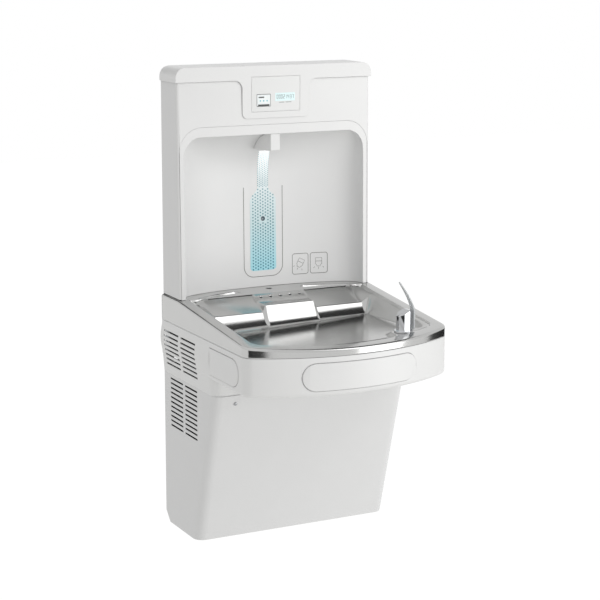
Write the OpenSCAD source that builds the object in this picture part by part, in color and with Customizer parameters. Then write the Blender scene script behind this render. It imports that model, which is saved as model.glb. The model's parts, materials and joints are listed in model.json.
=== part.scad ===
// Wall-hung bottle filling station over a chilled drinking basin.
// X runs to the right, Y runs into the wall and Z runs up. The origin lies on the wall,
// in the middle of the four wall bolts. Each piece of the real product is a module.

/* [Overall] */
// Width of the basin from side to side
station_w = 467; // [458:1:476]
// Reach of the basin's bowed front from the wall
station_d = 483; // [478:1:492]
// Height of the lower cabinet, from its foot to its seam
cabinet_h = 339; // [334:1:350]
// Height of the shroud between the cabinet's seam and the basin's skirt
neck_h = 116; // [113:1:122]
// Height of the basin's skirt at the wall
skirt_h = 56; // [54:1:59]
// Height of the tower above the basin
tower_h = 490; // [484:1:510]

/* [Basin] */
// Radius of the bowed front, seen from above
bow_r = 440; // [420:5:480]
// Radius of the two front corners
corner_r = 30; // [24:1:34]
// Depth of the level part of the rim, from the wall
rim_flat_d = 87; // [85:1:92]
// Downward slope of the rim in front of the level part, in degrees
rim_slope = 5.9; // [5.5:0.1:6.2]
// Thickness of the basin's steel
basin_t = 2; // [1.6:0.1:2.4]
// Width of the flat rim around the recess
rim_w = 26; // [22:1:29]
// Distance of the ledge's front edge from the wall
ledge_d = 152; // [146:1:158]
// Radius of the drain hole
drain_r = 19; // [17:0.5:21]

/* [Cabinet] */
// Width of the lower cabinet
cabinet_w = 458; // [454:1:460]
// Depth of the cabinet at its foot
cabinet_foot_d = 168; // [166:1:180]
// Depth of the cabinet at its seam
cabinet_top_d = 264; // [258:1:270]
// Thickness of the cabinet's sheet steel
sheet_t = 1.5; // [1.2:0.1:2]
// Radius of the cabinet's upright front corners
cabinet_r = 22; // [16:1:26]
// Thickness of moulded walls
mould_t = 3; // [2.5:0.1:3.5]

/* [Apron] */
// Height of the apron's underside above the cabinet's seam
apron_rise = 35; // [33:1:38]
// How far the vented belt swells past the apron's sides
belt_swell = 4; // [2:0.5:5]
// Height of the push bar's and push pads' faces
push_h = 56; // [50:1:58]
// Half length of the front push bar
bar_half_l = 130; // [110:1:140]
// Travel of the front push bar
bar_travel = 5; // [3:0.5:6]
// Travel of each side push pad
pad_travel = 4; // [3:0.5:5]

/* [Tower] */
// Width of the tower
tower_w = 458; // [456:1:460]
// Depth of the tower at its top
tower_top_d = 82; // [80:1:86]
// Depth of the tower at its foot
tower_foot_d = 90; // [88:1:93]
// Height of the top band
band_h = 31; // [28:1:34]
// How far the band stands out past the tower
band_proud = 3.5; // [2:0.5:4]
// Half width of the display tab under the band
tab_half_w = 79; // [70:1:84]
// Height of the display tab under the band
tab_h = 81; // [76:1:84]

/* [Alcove] */
// Distance from the tower's side to the alcove's opening
alcove_side = 14; // [13:1:21]
// Height of the alcove's opening above the basin
alcove_h = 344; // [335:1:348]
// Depth of the alcove behind the tower's front
alcove_d = 66; // [60:1:68]
// Radius of the opening's upper corners
alcove_r = 42; // [36:1:48]
// Width of the border around the opening
border_w = 9.5; // [8:0.5:10]

/* [Mounts] */
// Radius of the wall bolt holes
bolt_hole_r = 5.6; // [5.2:0.1:6]
// Distance of the wall bolts from the cabinet's sides
bolt_side = 25.8; // [24:0.2:29]
// Height of the wall bolts' middle above the cabinet's foot
bolt_rise = 210; // [205:1:215]
// Spacing of the wall bolts up the cabinet
bolt_span_z = 304.8; // [298:0.4:310]
// Outside radius of the waste pipe
waste_r = 15.9; // [15.5:0.1:16.3]
// Outside radius of the water inlet tube
inlet_r = 4.76; // [4.6:0.02:5]
// Radius of the cable gland's bore
gland_bore_r = 4.3; // [4:0.1:4.6]

/* [Hidden] */

// Shared small sizes
over = 2;
gap = 0.3;
slide_gap = 0.05;
elbow_swell = 1;
fine = 96;
small = 40;
half = 1 / 2;

// Levels and half widths that several pieces share
half_w = station_w / 2;
foot_z = -bolt_rise;
seam_z = foot_z + cabinet_h;
skirt_z = seam_z + neck_h;
deck_z = skirt_z + skirt_h;
apron_z = seam_z + apron_rise;
tower_top_z = deck_z + tower_h;
cab_half_w = cabinet_w / 2;
tower_half_w = tower_w / 2;
bolt_half_x = cab_half_w - bolt_side;
alcove_half_w = tower_half_w - alcove_side;
push_z = skirt_z - (skirt_z - apron_z) / 2;
bow_cy = bow_r - station_d;

function mix(a, b, t) = a + (b - a) * t;
function clamp01(t) = min(1, max(0, t));
function smooth(t) = let (s = clamp01(t)) s * s * (3 - 2 * s);
function arc(c, r, a0, a1, n, first = 0) = [for (i = [first:n - first])
    let (a = mix(a0, a1, i / n)) [c[0] + r * cos(a), c[1] + r * sin(a)]];

// Centre of a front corner's arc, for the outline inset by k
function corner_cx(k) = half_w - corner_r;
function corner_cy(k) = bow_cy - sqrt(pow(bow_r - corner_r, 2) - pow(corner_cx(k), 2));
corner_a = atan2(bow_cy - corner_cy(0), corner_cx(0));

// A closed skin over rings of points, with a fan over each end. Rings run
// counter-clockwise and climb.
function middle(ring) = [for (p = ring) 1] * ring / len(ring);
module skin(rings) {
    n = len(rings[0]);
    m = len(rings);
    foot = m * n;
    walls = [for (k = [0:m - 2]) for (i = [0:n - 1])
        let (a = k * n + i, b = k * n + (i + 1) % n) each [[a, a + n, b + n], [a, b + n, b]]];
    ends = [for (i = [0:n - 1]) let (j = (i + 1) % n, top = (m - 1) * n)
        each [[foot, i, j], [foot + 1, top + j, top + i]]];
    polyhedron(points = concat([for (ring = rings) each ring],
            [middle(rings[0]), middle(rings[m - 1])]),
        faces = concat(walls, ends), convexity = 8);
}

// A closed slab between an upper and a lower grid of points. Rows run forwards.
module slab(upper, lower) {
    m = len(upper);
    n = len(upper[0]);
    u = function(i, j) i * n + j;
    w = function(i, j) (m + i) * n + j;
    cells = [for (i = [0:m - 2]) for (j = [0:n - 2]) each [
        [u(i, j), u(i, j + 1), u(i + 1, j + 1)], [u(i, j), u(i + 1, j + 1), u(i + 1, j)],
        [w(i, j), w(i + 1, j + 1), w(i, j + 1)], [w(i, j), w(i + 1, j), w(i + 1, j + 1)]]];
    ends = [for (j = [0:n - 2]) each [
        [u(0, j + 1), u(0, j), w(0, j)], [u(0, j + 1), w(0, j), w(0, j + 1)],
        [u(m - 1, j), u(m - 1, j + 1), w(m - 1, j + 1)],
        [u(m - 1, j), w(m - 1, j + 1), w(m - 1, j)]]];
    sides = [for (i = [0:m - 2]) each [
        [u(i + 1, n - 1), u(i, n - 1), w(i, n - 1)],
        [u(i + 1, n - 1), w(i, n - 1), w(i + 1, n - 1)],
        [u(i, 0), u(i + 1, 0), w(i + 1, 0)], [u(i, 0), w(i + 1, 0), w(i, 0)]]];
    polyhedron(points = concat([for (row = upper) each row], [for (row = lower) each row]),
        faces = concat(cells, ends, sides), convexity = 8);
}

// Outline of a U-shaped housing against the wall, as a ring at height z
function housing_ring(hw, d, r, back, z) = [for (p = concat([[-hw, back]],
    arc([r - hw, r - d], r, 180, 270, 8), arc([hw - r, r - d], r, 270, 360, 8),
    [[hw, back]])) [p[0], p[1], z]];

// Outline of the basin and apron inset by k, as flat exact shapes
module bow_2d(k, back) {
    hw = half_w - k;
    cx = corner_cx(k);
    cy = corner_cy(k);
    tx = (bow_r - k) * cos(corner_a);
    ty = bow_cy - (bow_r - k) * sin(corner_a);
    polygon([[-hw, back], [-hw, cy], [-tx, ty], [tx, ty], [hw, cy], [hw, back]]);
    for (s = [-1, 1]) translate([s * cx, cy]) circle(r = corner_r - k, $fn = fine);
    intersection() {
        translate([0, bow_cy]) circle(r = bow_r - k, $fn = 4 * fine);
        translate([-tx, -station_d - over]) square([2 * tx, station_d + over + ty]);
    }
}

// A pill lying along the first axis, centred
module pill_2d(half_l, r) {
    square([2 * (half_l - r), 2 * r], center = true);
    for (s = [-1, 1]) translate([s * (half_l - r), 0]) circle(r = r, $fn = small);
}

// Stands a flat shape up to face the front, from depth d0 to depth d1 before the wall
module facing(d0, d1) {
    translate([0, -d0, 0]) rotate([90, 0, 0]) linear_extrude(d1 - d0) children();
}

// Stands a side profile, drawn as depth and height, across the width from x0 to x1
module across(x0, x1) {
    translate([x0, 0, 0]) rotate([90, 0, 90]) linear_extrude(x1 - x0) children();
}

// A bar of round section through a list of points, with a ball elbow at each bend
module tube_run(points, r, elbow_r) {
    for (i = [0:len(points) - 2]) {
        a = points[i];
        b = points[i + 1];
        v = b - a;
        translate(a) rotate([0, acos(v[2] / norm(v)), atan2(v[1], v[0])])
            cylinder(r = r, h = norm(v), $fn = small);
        if (i > 0) translate(a) sphere(r = elbow_r, $fn = small);
    }
}

// A cabinet screw, standing on z = 0 with its shank below
module screw(head_r, head_h, shank_r, shank_l) {
    rotate_extrude($fn = small) polygon([[0, -shank_l], [shank_r, -shank_l], [shank_r, 0],
        [head_r, 0], [head_r * 0.9, head_h * 0.7], [head_r * 0.5, head_h], [0, head_h]]);
}

// Back frame: folded steel plate that hangs on the wall and carries everything
frame_t = 2;
frame_lift = 24;
frame_z = foot_z + frame_lift;
frame_half_w = cab_half_w - mould_t - gap;
frame_flange = 22;
frame_top_z = deck_z - basin_t - gap;
module back_frame() color("silver") difference() {
    union() {
        translate([-frame_half_w, -frame_t, frame_z])
            cube([2 * frame_half_w, frame_t, frame_top_z - frame_z]);
        for (s = [0, 1]) mirror([s, 0, 0])
            translate([frame_half_w - frame_t, -frame_flange, frame_z])
                cube([frame_t, frame_flange, frame_top_z - frame_z]);
        translate([-frame_half_w, -frame_flange, frame_z])
            cube([2 * frame_half_w, frame_flange, frame_t]);
    }
    for (x = [-1, 1], z = [-1, 1])
        translate([x * bolt_half_x, over, z * bolt_span_z / 2])
            rotate([90, 0, 0]) cylinder(r = bolt_hole_r, h = frame_t + 2 * over, $fn = small);
}

// Base pan: shallow steel tray for the cooling set, on the frame's lower flange
pan_z = frame_z + frame_t;
pan_t = 2;
pan_lip = 14;
pan_back_d = 4;
function cabinet_d(z) = mix(cabinet_foot_d, cabinet_top_d, (z - foot_z) / cabinet_h);
pan_d = cabinet_d(pan_z) - sheet_t - 2 * gap;
pan_half_w = frame_half_w - frame_t - gap;
compressor_side = 91;
compressor_x = compressor_side - cab_half_w;
compressor_y = -92;
stud_span = 46;
stud_r = 3;
foot_bore_r = stud_r + gap;
waste_x = -34;
waste_y = -50;
coupler_x = 122;
coupler_y = -34;
gland_x = 84;
gland_y = -32;
grommet = 3;
notch_play = 12; // the tube and the cable leave through one notch in the pan's back edge
module base_pan() color("silver") difference() {
    translate([-pan_half_w, -pan_d, pan_z])
        cube([2 * pan_half_w, pan_d - pan_back_d, pan_lip]);
    translate([pan_t - pan_half_w, pan_t - pan_d, pan_z + pan_t])
        cube([2 * (pan_half_w - pan_t), pan_d - pan_back_d - 2 * pan_t, pan_lip]);
    for (s = [0, 1]) mirror([s, 0, 0]) translate([pan_half_w, -pan_d, pan_z])
        rotate([0, 0, 45]) cube([cabinet_r, cabinet_r, 4 * pan_lip], center = true);
    for (x = [-1, 1], y = [-1, 1])
        translate([compressor_x + x * stud_span, compressor_y + y * stud_span, pan_z - over])
            cylinder(r = foot_bore_r, h = pan_t + 2 * over, $fn = small);
    translate([waste_x, waste_y, pan_z - over])
        cylinder(r = waste_r + grommet, h = pan_lip, $fn = small);
    translate([gland_x - notch_play, coupler_y - notch_play, pan_z - over])
        cube([coupler_x - gland_x + 2 * notch_play, notch_play - coupler_y, 2 * pan_lip]);
}

// Vent slots: two columns of level slots through both sides
slot_half_h = 2;
slot_pitch = 10.4;
vent_drop = 9;
module vent_slots(columns, top_z, rows) {
    for (column = columns, i = [0:rows - 1])
        translate([0, -(column[0] + column[1]) / 2, top_z - i * slot_pitch])
            rotate([90, 0, 90]) linear_extrude(station_w + cabinet_w, center = true)
                pill_2d((column[1] - column[0]) / 2, slot_half_h);
}

// Lower cover: painted steel wrap with a sloping front and louvred sides
lower_columns = [[33, 100], [110, 174]];
lower_rows = 11;
foot_cut_h = 23;
foot_cut_d = 22;
screw_side = 49;
screw_x = cab_half_w - screw_side;
screw_drop = 19;
screw_z = seam_z - screw_drop;
screw_hole_r = 2.4;
screw_head_r = 4;
screw_head_h = 2;
screw_l = 9;
front_lean = atan((cabinet_top_d - cabinet_foot_d) / cabinet_h);
module at_screws() for (s = [-1, 1]) translate([s * screw_x, -cabinet_d(screw_z), screw_z])
    rotate([90 + front_lean, 0, 0]) children();
module cabinet_solid(k, z0, z1) skin([for (z = [z0, z1])
    housing_ring(cab_half_w - k, cabinet_d(z) - k, cabinet_r - k, k > 0 ? over : -gap, z)]);
module lower_cover() color("gainsboro") difference() {
    cabinet_solid(0, foot_z, seam_z);
    cabinet_solid(sheet_t, foot_z - over, seam_z + over);
    vent_slots(lower_columns, seam_z - vent_drop, lower_rows);
    translate([0, 0, foot_z]) across(-station_w, station_w) polygon([[over, -over],
        [-foot_cut_d, -over], [-foot_cut_d, 0], [-gap, foot_cut_h], [over, foot_cut_h]]);
    at_screws() cylinder(r = screw_hole_r, h = 4 * over, center = true, $fn = small);
}

// Screws that hold the lower cover to the shroud
module cover_screws() color("dimgray") at_screws() translate([0, 0, gap])
    screw(screw_head_r, screw_head_h, screw_hole_r - gap, screw_l);

// Upper shroud: moulded shell with an overhanging apron, vents and push openings
apron_round = 9;
belt_drop = 8;
belt_top_z = skirt_z - belt_drop;
belt_rise = 13;
belt_low_z = apron_z + belt_rise;
belt_start_d = 90;
belt_full_d = 190;
belt_mid_d = 230;
belt_end_d = 300;
apron_levels = [0, 0.06, 0.18, 0.4, 0.7, 1];
neck_top_in = 0.6;
function belt(y, z) = z > belt_top_z || z < belt_low_z ? 0
    : belt_swell * sin(180 * (z - belt_low_z) / (belt_top_z - belt_low_z))
        * (1 - smooth((-y - belt_full_d) / (belt_end_d - belt_full_d)));
function bow_ring(k, back, z, swell) = let (hw = half_w - k, cx = corner_cx(k),
    cy = corner_cy(k), side = [back, -belt_start_d, -belt_full_d, -belt_mid_d, -belt_end_d])
    [for (p = concat([for (y = side) [-hw, y]],
        arc([-cx, cy], corner_r - k, 180, 180 + corner_a, 6),
        arc([0, bow_cy], bow_r - k, 180 + corner_a, 360 - corner_a, 24, 1),
        arc([cx, cy], corner_r - k, 360 - corner_a, 360, 6),
        [for (i = [4:-1:0]) [hw, side[i]]]))
        [p[0] + sign(p[0]) * swell * belt(p[1], z), p[1], z]];
belt_steps = 6;
function apron_heights(k, top_z) = concat(
    [for (t = apron_levels) [apron_z + k + apron_round * t,
        apron_round * (1 - sqrt(1 - pow(1 - t, 2)))]],
    [for (i = [0:belt_steps]) [mix(belt_low_z, belt_top_z, i / belt_steps), 0]],
    [[top_z, 0]]);
module apron_solid(k, back, top_z) skin([for (level = apron_heights(k, top_z))
    bow_ring(level[1] + k, back, level[0], 1)]);
neck_d = 262;
function neck_ring(k, back, z) = housing_ring(
    mix(cab_half_w, half_w - neck_top_in, (z - seam_z) / (belt_low_z - seam_z)) - k,
    neck_d - k, cabinet_r - k, back, z);
module neck_solid(k, back, z0, z1) skin([for (z = [z0, z1]) neck_ring(k, back, z)]);
upper_columns = [[17, 94], [105, 181]];
upper_rows = 8;
push_gap = 1;
pad_set = 96;
pad_front_d = station_d - pad_set;
pad_length = 137;
pad_back_d = pad_front_d - pad_length;
module pad_2d(k) {
    r = push_h / 2 - k;
    translate([k - pad_front_d + r, 0]) {
        translate([0, -r]) square([pad_front_d - pad_back_d - r - 2 * k, 2 * r]);
        circle(r = r, $fn = fine);
    }
}
module upper_shroud() color("whitesmoke") difference() {
    union() {
        apron_solid(0, -gap, skirt_z - gap);
        neck_solid(0, -gap, seam_z, belt_low_z);
    }
    apron_solid(mould_t, over, skirt_z + over);
    neck_solid(mould_t, over, seam_z - over, belt_low_z + over);
    vent_slots(upper_columns, skirt_z - 2 * slot_pitch + slide_gap, upper_rows);
    translate([0, 0, push_z]) facing(station_d - bow_r / 8, station_d + over)
        pill_2d(bar_half_l + push_gap, push_h / 2 + push_gap);
    translate([0, 0, push_z]) across(-station_w, station_w) pad_2d(-push_gap);
}

// Front push bar: a bowed pill with a flange behind the wall and two guide posts
bar_proud = 2;
bar_flange = 3;
bar_t = 3;
flange_gap = 2 * gap;
post_r = 4;
post_x = 70;
bar_wall_r = bow_r - mould_t - flange_gap;
bracket_set = 33;
bracket_d = station_d - bracket_set;
bracket_t = 2;
post_l = 34;
module bow_sector(r0, r1) difference() {
    translate([0, bow_cy, push_z - push_h]) cylinder(r = r1, h = 2 * push_h, $fn = 4 * fine);
    translate([0, bow_cy, push_z - 2 * push_h]) cylinder(r = r0, h = 4 * push_h, $fn = 4 * fine);
}
module push_bar() color("whitesmoke") {
    intersection() {
        bow_sector(bar_wall_r - bar_t, bow_r + bar_proud);
        translate([0, 0, push_z]) facing(bow_r / 2, station_d + 2 * over)
            pill_2d(bar_half_l, push_h / 2);
    }
    intersection() {
        bow_sector(bar_wall_r - bar_t, bar_wall_r);
        translate([0, 0, push_z]) facing(bow_r / 2, station_d + 2 * over)
            pill_2d(bar_half_l + bar_flange, push_h / 2 + bar_flange);
    }
    for (s = [-1, 1]) translate([s * post_x, -bow_back_d(post_x), push_z])
        rotate([-90, 0, 0]) cylinder(r = post_r, h = post_l, $fn = small);
}
function bow_back_d(x) = sqrt(pow(bar_wall_r - bar_t * half, 2) - x * x) - bow_cy;

// Bracket behind the bar: guides the posts and carries the switch
bracket_half_w = 92;
bracket_h = 52;
bracket_foot = 26;
apron_floor_z = apron_z + mould_t;
module bar_bracket() color("silver") difference() {
    union() {
        translate([-bracket_half_w, -bracket_d, apron_floor_z])
            cube([2 * bracket_half_w, bracket_t, bracket_h]);
        translate([-bracket_half_w, -bracket_d, apron_floor_z])
            cube([2 * bracket_half_w, bracket_foot, bracket_t]);
    }
    for (s = [-1, 1]) translate([s * post_x, -bracket_d - over, push_z])
        rotate([-90, 0, 0]) cylinder(r = post_r + slide_gap, h = 3 * over, $fn = small);
}

// Return springs, wound from a formula around the posts
wire_r = 0.6;
coil_play = 1;
coil_r = post_r + gap + wire_r + coil_play;
spring_turns = 5;
ring_steps = 12;
ring_sides = 6;
module coil(length, turns) {
    n = turns * ring_steps;
    rise = length - 2 * wire_r;
    skin([for (i = [n:-1:0]) [for (j = [0:ring_sides - 1])
        let (a = 360 * i / ring_steps, b = 360 * j / ring_sides, r = coil_r + wire_r * cos(b))
        [r * cos(a), r * sin(a), wire_r + rise * i / n + wire_r * sin(b)]]]);
}
bar_spring_l = bow_back_d(post_x + coil_r + wire_r) - bar_t * half - bracket_d - 3 * gap;
module bar_springs() color("silver") for (s = [-1, 1])
    translate([s * post_x, -bracket_d - gap, push_z]) rotate([90, 0, 0])
        coil(bar_spring_l, spring_turns);

// Switches and their plungers, which follow the bar and the pads
switch_w = 20;
switch_h = 12;
switch_l = 14;
plunger_r = 2;
plunger_l = 20;
pad_plunger_l = 12;
module switch_block(l) translate([0, 0, l / 2]) difference() {
    cube([switch_w, switch_h, l], center = true);
    cylinder(r = plunger_r + slide_gap, h = 2 * l, center = true, $fn = small);
}
module bar_switch() color("dimgray") translate([0, -bracket_d, push_z]) rotate([90, 0, 0])
    switch_block(switch_l);
module bar_plunger() color("crimson")
    translate([0, -bow_back_d(0) + bar_t * half + gap, push_z]) rotate([-90, 0, 0])
        cylinder(r = plunger_r, h = plunger_l, $fn = small);

// Side push pads: D-shaped faces, each with a flange and one guide post
pad_proud = 1.5;
pad_flange = 3;
pad_t = 3;
post_set = 47;
pad_post_d = pad_front_d - post_set;
switch_set = 95;
pad_switch_d = pad_front_d - switch_set;
pad_back_x = half_w - mould_t - flange_gap - pad_t;
pad_bracket_set = 18;
pad_bracket_x = pad_back_x - pad_bracket_set;
pad_bracket_w = 100;
pad_post_l = 28;
module pad() color("whitesmoke") {
    translate([0, 0, push_z]) across(pad_back_x, half_w + pad_proud) pad_2d(0);
    translate([0, 0, push_z]) across(pad_back_x, pad_back_x + pad_t) pad_2d(-pad_flange);
    translate([pad_back_x, -pad_post_d, push_z]) rotate([0, -90, 0])
        cylinder(r = post_r, h = pad_post_l, $fn = small);
}
module pad_bracket() color("silver") difference() {
    union() {
        translate([pad_bracket_x - bracket_t, -pad_post_d - pad_bracket_w / 4, apron_floor_z])
            cube([bracket_t, pad_bracket_w, bracket_h]);
        translate([pad_bracket_x - bracket_foot, -pad_post_d - pad_bracket_w / 4, apron_floor_z])
            cube([bracket_foot, pad_bracket_w, bracket_t]);
    }
    translate([pad_bracket_x + over, -pad_post_d, push_z]) rotate([0, -90, 0])
        cylinder(r = post_r + slide_gap, h = 3 * over, $fn = small);
}
module pad_spring() color("silver") translate([pad_bracket_x + gap, -pad_post_d, push_z])
    rotate([0, 90, 0]) coil(pad_back_x - pad_bracket_x - 2 * gap, spring_turns - 1);
module pad_switch() color("dimgray") translate([pad_bracket_x, -pad_switch_d, push_z])
    rotate([0, 90, 0]) switch_block(pad_back_x - pad_bracket_x - pad_travel - over);
module pad_plunger() color("crimson") translate([pad_back_x - gap, -pad_switch_d, push_z])
    rotate([0, -90, 0]) cylinder(r = plunger_r, h = pad_plunger_l, $fn = small);
module left_pad() mirror([1, 0, 0]) pad();
module left_pad_bracket() mirror([1, 0, 0]) pad_bracket();
module left_pad_spring() mirror([1, 0, 0]) pad_spring();
module left_switch() mirror([1, 0, 0]) pad_switch();
module left_plunger() mirror([1, 0, 0]) pad_plunger();
module right_pad() pad();
module right_pad_bracket() pad_bracket();
module right_pad_spring() pad_spring();
module right_switch() pad_switch();
module right_plunger() pad_plunger();

// Basin: rim, skirt and a pan whose surface follows one formula
recess_hw = half_w - rim_w;
recess_back_d = 97;
recess_lip = 1;
pan_wall = 3;
platform_hw = 57;
platform_step = 8;
platform_drop = 13.5;
platform_z = deck_z - platform_drop;
ledge_drop = 28;
ledge_z = deck_z - ledge_drop;
valley_run = 22;
valley_d = ledge_d + valley_run;
valley_left_drop = 6;
valley_left_z = skirt_z - valley_left_drop;
valley_right_rise = 7;
valley_right_z = skirt_z + valley_right_rise;
front_floor_rise = 11;
front_floor_z = skirt_z + front_floor_rise;
fall_w = 34;
boss_side = 77.5;
boss_x = recess_hw - boss_side;
boss_set = 70;
boss_d = station_d - boss_set;
boss_r = 23;
boss_fade = 14;
boss_rise = 17.5;
boss_z = skirt_z + boss_rise;
drain_side = 42.5;
drain_x = drain_side - recess_hw;
drain_set = 53;
drain_d = ledge_d + drain_set;
drain_fade = 16;
recess_r = bow_r - rim_w;
recess_corner_r = corner_r;
recess_cx = recess_hw - recess_corner_r;
recess_cy = bow_cy - sqrt(pow(recess_r - recess_corner_r, 2) - pow(recess_cx, 2));
recess_tx = recess_cx * recess_r / (recess_r - recess_corner_r);
function rim_z(y) = deck_z - max(0, -y - rim_flat_d) * tan(rim_slope);
function front_y(x) = abs(x) < recess_tx ? bow_cy - sqrt(recess_r * recess_r - x * x)
    : recess_cy - sqrt(max(0, pow(recess_corner_r, 2) - pow(abs(x) - recess_cx, 2)));
function ledge_at(x, y) = let (run = clamp01((-y - recess_back_d) / (ledge_d - recess_back_d)),
    side = mix(deck_z - recess_lip, ledge_z, run * (2 - run) * 0.5 + run * 0.5),
    middle = mix(deck_z - recess_lip, platform_z, smooth(run * 2)))
    mix(middle, side, clamp01((abs(x) - platform_hw) / platform_step));
function floor_at(x, y) = mix(mix(valley_left_z, valley_right_z, (x + recess_hw) / (2 * recess_hw)),
    front_floor_z, clamp01((-y - valley_d) / (station_d - rim_w - valley_d)));
function pan_at(x, y) = let (
    edge = min(recess_hw - abs(x), y - front_y(x)),
    deep = -y < ledge_d ? ledge_at(x, y)
        : mix(ledge_at(x, y), floor_at(x, y), sqrt(clamp01((-y - ledge_d) / (valley_d - ledge_d)))),
    base = mix(rim_z(y) - recess_lip, deep, smooth(edge / fall_w)),
    boss = 1 - smooth((norm([x - boss_x, y + boss_d]) - boss_r) / boss_fade),
    sump = 1 - smooth((norm([x - drain_x, y + drain_d]) - drain_r - over) / drain_fade))
    mix(mix(base, boss_z, boss), floor_at(drain_x, -drain_d), sump);
half_shares = [0, 0.12, 0.2, platform_hw / recess_hw, (platform_hw + platform_step) / recess_hw,
    0.4, 0.47, 0.53, 0.59, 0.65, 0.71, 0.77, 0.83, 0.88, 0.925, 0.965, 1];
ledge_shares = [0, 0.12, 0.26, 0.42, 0.6, 0.8, 1];
drop_shares = [0.06, 0.22, 0.5, 1];
floor_shares = [0.05, 0.1, 0.16, 0.24, 0.33, 0.43, 0.54, 0.64, 0.73, 0.81, 0.87, 0.92, 0.96, 1];
pan_xs = [for (i = [1 - len(half_shares):len(half_shares) - 1])
    sign(i) * half_shares[abs(i)] * recess_hw];
function pan_ys(x) = concat([for (s = ledge_shares) -mix(recess_back_d, ledge_d, s)],
    [for (s = drop_shares) -mix(ledge_d, valley_d, s)],
    [for (s = floor_shares) mix(-valley_d, front_y(x), s)]);
function pan_grid(drop) = [for (i = [0:len(pan_ys(0)) - 1])
    [for (x = pan_xs) let (y = pan_ys(x)[i]) [x, y, pan_at(x, y) - drop]]];
module rim_wedge(drop) across(-station_w, station_w) polygon([[2 * over, seam_z],
    [2 * over, deck_z - drop], [-rim_flat_d, deck_z - drop],
    [-station_d - over, rim_z(-station_d - over) - drop], [-station_d - over, seam_z]]);
rim_tuck = 3;
seat_w = 3;
drain_seat_z = floor_at(drain_x, -drain_d);
groove_cx = 60;
groove_d = 294;
groove_r = 235;
groove_w = 12;
groove_sink = 3.5;
groove_a0 = 55;
groove_a1 = 84;
dimple_n = 5;
dimple_pitch = 23.3;
dimple_d = 107;
dimple_r = 2.6;
slit_d = 51;
slit_half_l = 10;
slit_r = 2.2;
wire_slot_x = 60;
wire_slot_half = 24;
wire_slot_r = 5.5;
bubbler_shank_r = 6;
module basin() color("lightslategray") difference() {
    union() {
        difference() {
            intersection() {
                translate([0, 0, skirt_z]) linear_extrude(skirt_h + over) bow_2d(0, -gap);
                rim_wedge(0);
            }
            intersection() {
                translate([0, 0, skirt_z - over]) linear_extrude(skirt_h + 2 * over)
                    bow_2d(basin_t, over);
                rim_wedge(basin_t);
            }
            translate([0, 0, skirt_z]) linear_extrude(skirt_h + over) intersection() {
                bow_2d(rim_w + rim_tuck, 0);
                translate([-station_w, -station_d]) square([2 * station_w,
                    station_d - recess_back_d - rim_tuck]);
            }
        }
        slab(pan_grid(0), pan_grid(pan_wall));
        translate([drain_x, -drain_d, drain_seat_z - pan_wall])
            cylinder(r = drain_r + 2 * seat_w, h = pan_wall, $fn = fine);
        translate([boss_x, -boss_d, boss_z - pan_wall])
            cylinder(r = boss_r, h = pan_wall, $fn = fine);
    }
    translate([drain_x, -drain_d, skirt_z - skirt_h])
        cylinder(r = drain_r, h = skirt_h, $fn = fine);
    translate([drain_x, -drain_d, drain_seat_z])
        cylinder(r = drain_r + seat_w + gap, h = skirt_h, $fn = fine);
    translate([boss_x, -boss_d, boss_z]) cylinder(r = boss_r - gap, h = skirt_h, $fn = fine);
    translate([boss_x, -boss_d, skirt_z]) cylinder(r = bubbler_shank_r + gap, h = skirt_h,
        $fn = small);
    for (s = [0, 1]) mirror([s, 0, 0])
        translate([groove_cx, -groove_d, deck_z + groove_w - groove_sink])
            rotate([0, 0, groove_a0]) rotate_extrude(angle = groove_a1 - groove_a0, $fn = fine)
                translate([groove_r, 0]) intersection() {
                    circle(r = groove_w, $fn = small);
                    translate([-groove_w, -groove_w])
                        square([2 * groove_w, groove_sink + basin_t / 4]);
                }
    for (i = [0:dimple_n - 1])
        translate([(i - (dimple_n - 1) / 2) * dimple_pitch, -dimple_d, platform_z - pan_wall - over])
            cylinder(r = dimple_r, h = deck_z - platform_z + 3 * over, $fn = small);
    translate([0, -slit_d, deck_z - 2 * over]) linear_extrude(3 * over)
        pill_2d(slit_half_l, slit_r);
    translate([wire_slot_x, -wire_slot_r - frame_t - over, deck_z - 2 * over])
        linear_extrude(3 * over) pill_2d(wire_slot_half, wire_slot_r);
}

// Drain: slotted strainer, threaded body under the basin and the waste pipe
strainer_t = 1.6;
strainer_dome = 1.2;
strainer_r = drain_r + seat_w;
strainer_hole_r = 1.9;
drain_body_l = 26;
drain_body_wall = 2.5;
drain_flange = 2;
drain_flange_t = 6;
drain_neck = 8;
module drain_strainer() color("silver") difference() {
    translate([drain_x, -drain_d, drain_seat_z + gap]) rotate_extrude($fn = fine)
        polygon([[0, 0], [strainer_r, 0], [strainer_r, strainer_t / 2],
            [strainer_r - strainer_t, strainer_t], [strainer_r / 2, strainer_dome],
            [0, strainer_dome]]);
    translate([drain_x, -drain_d, drain_seat_z - over]) {
        cylinder(r = strainer_hole_r, h = 3 * over, $fn = small);
        for (ring = [1, 2], i = [0:6 * ring - 1]) rotate([0, 0, 60 * i / ring])
            translate([ring * strainer_r / 3, 0, 0])
                cylinder(r = strainer_hole_r, h = 3 * over, $fn = small);
    }
}
drain_under_z = drain_seat_z - pan_wall;
drain_in_r = waste_r - drain_body_wall;
drain_out_r = waste_r + drain_body_wall;
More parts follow.
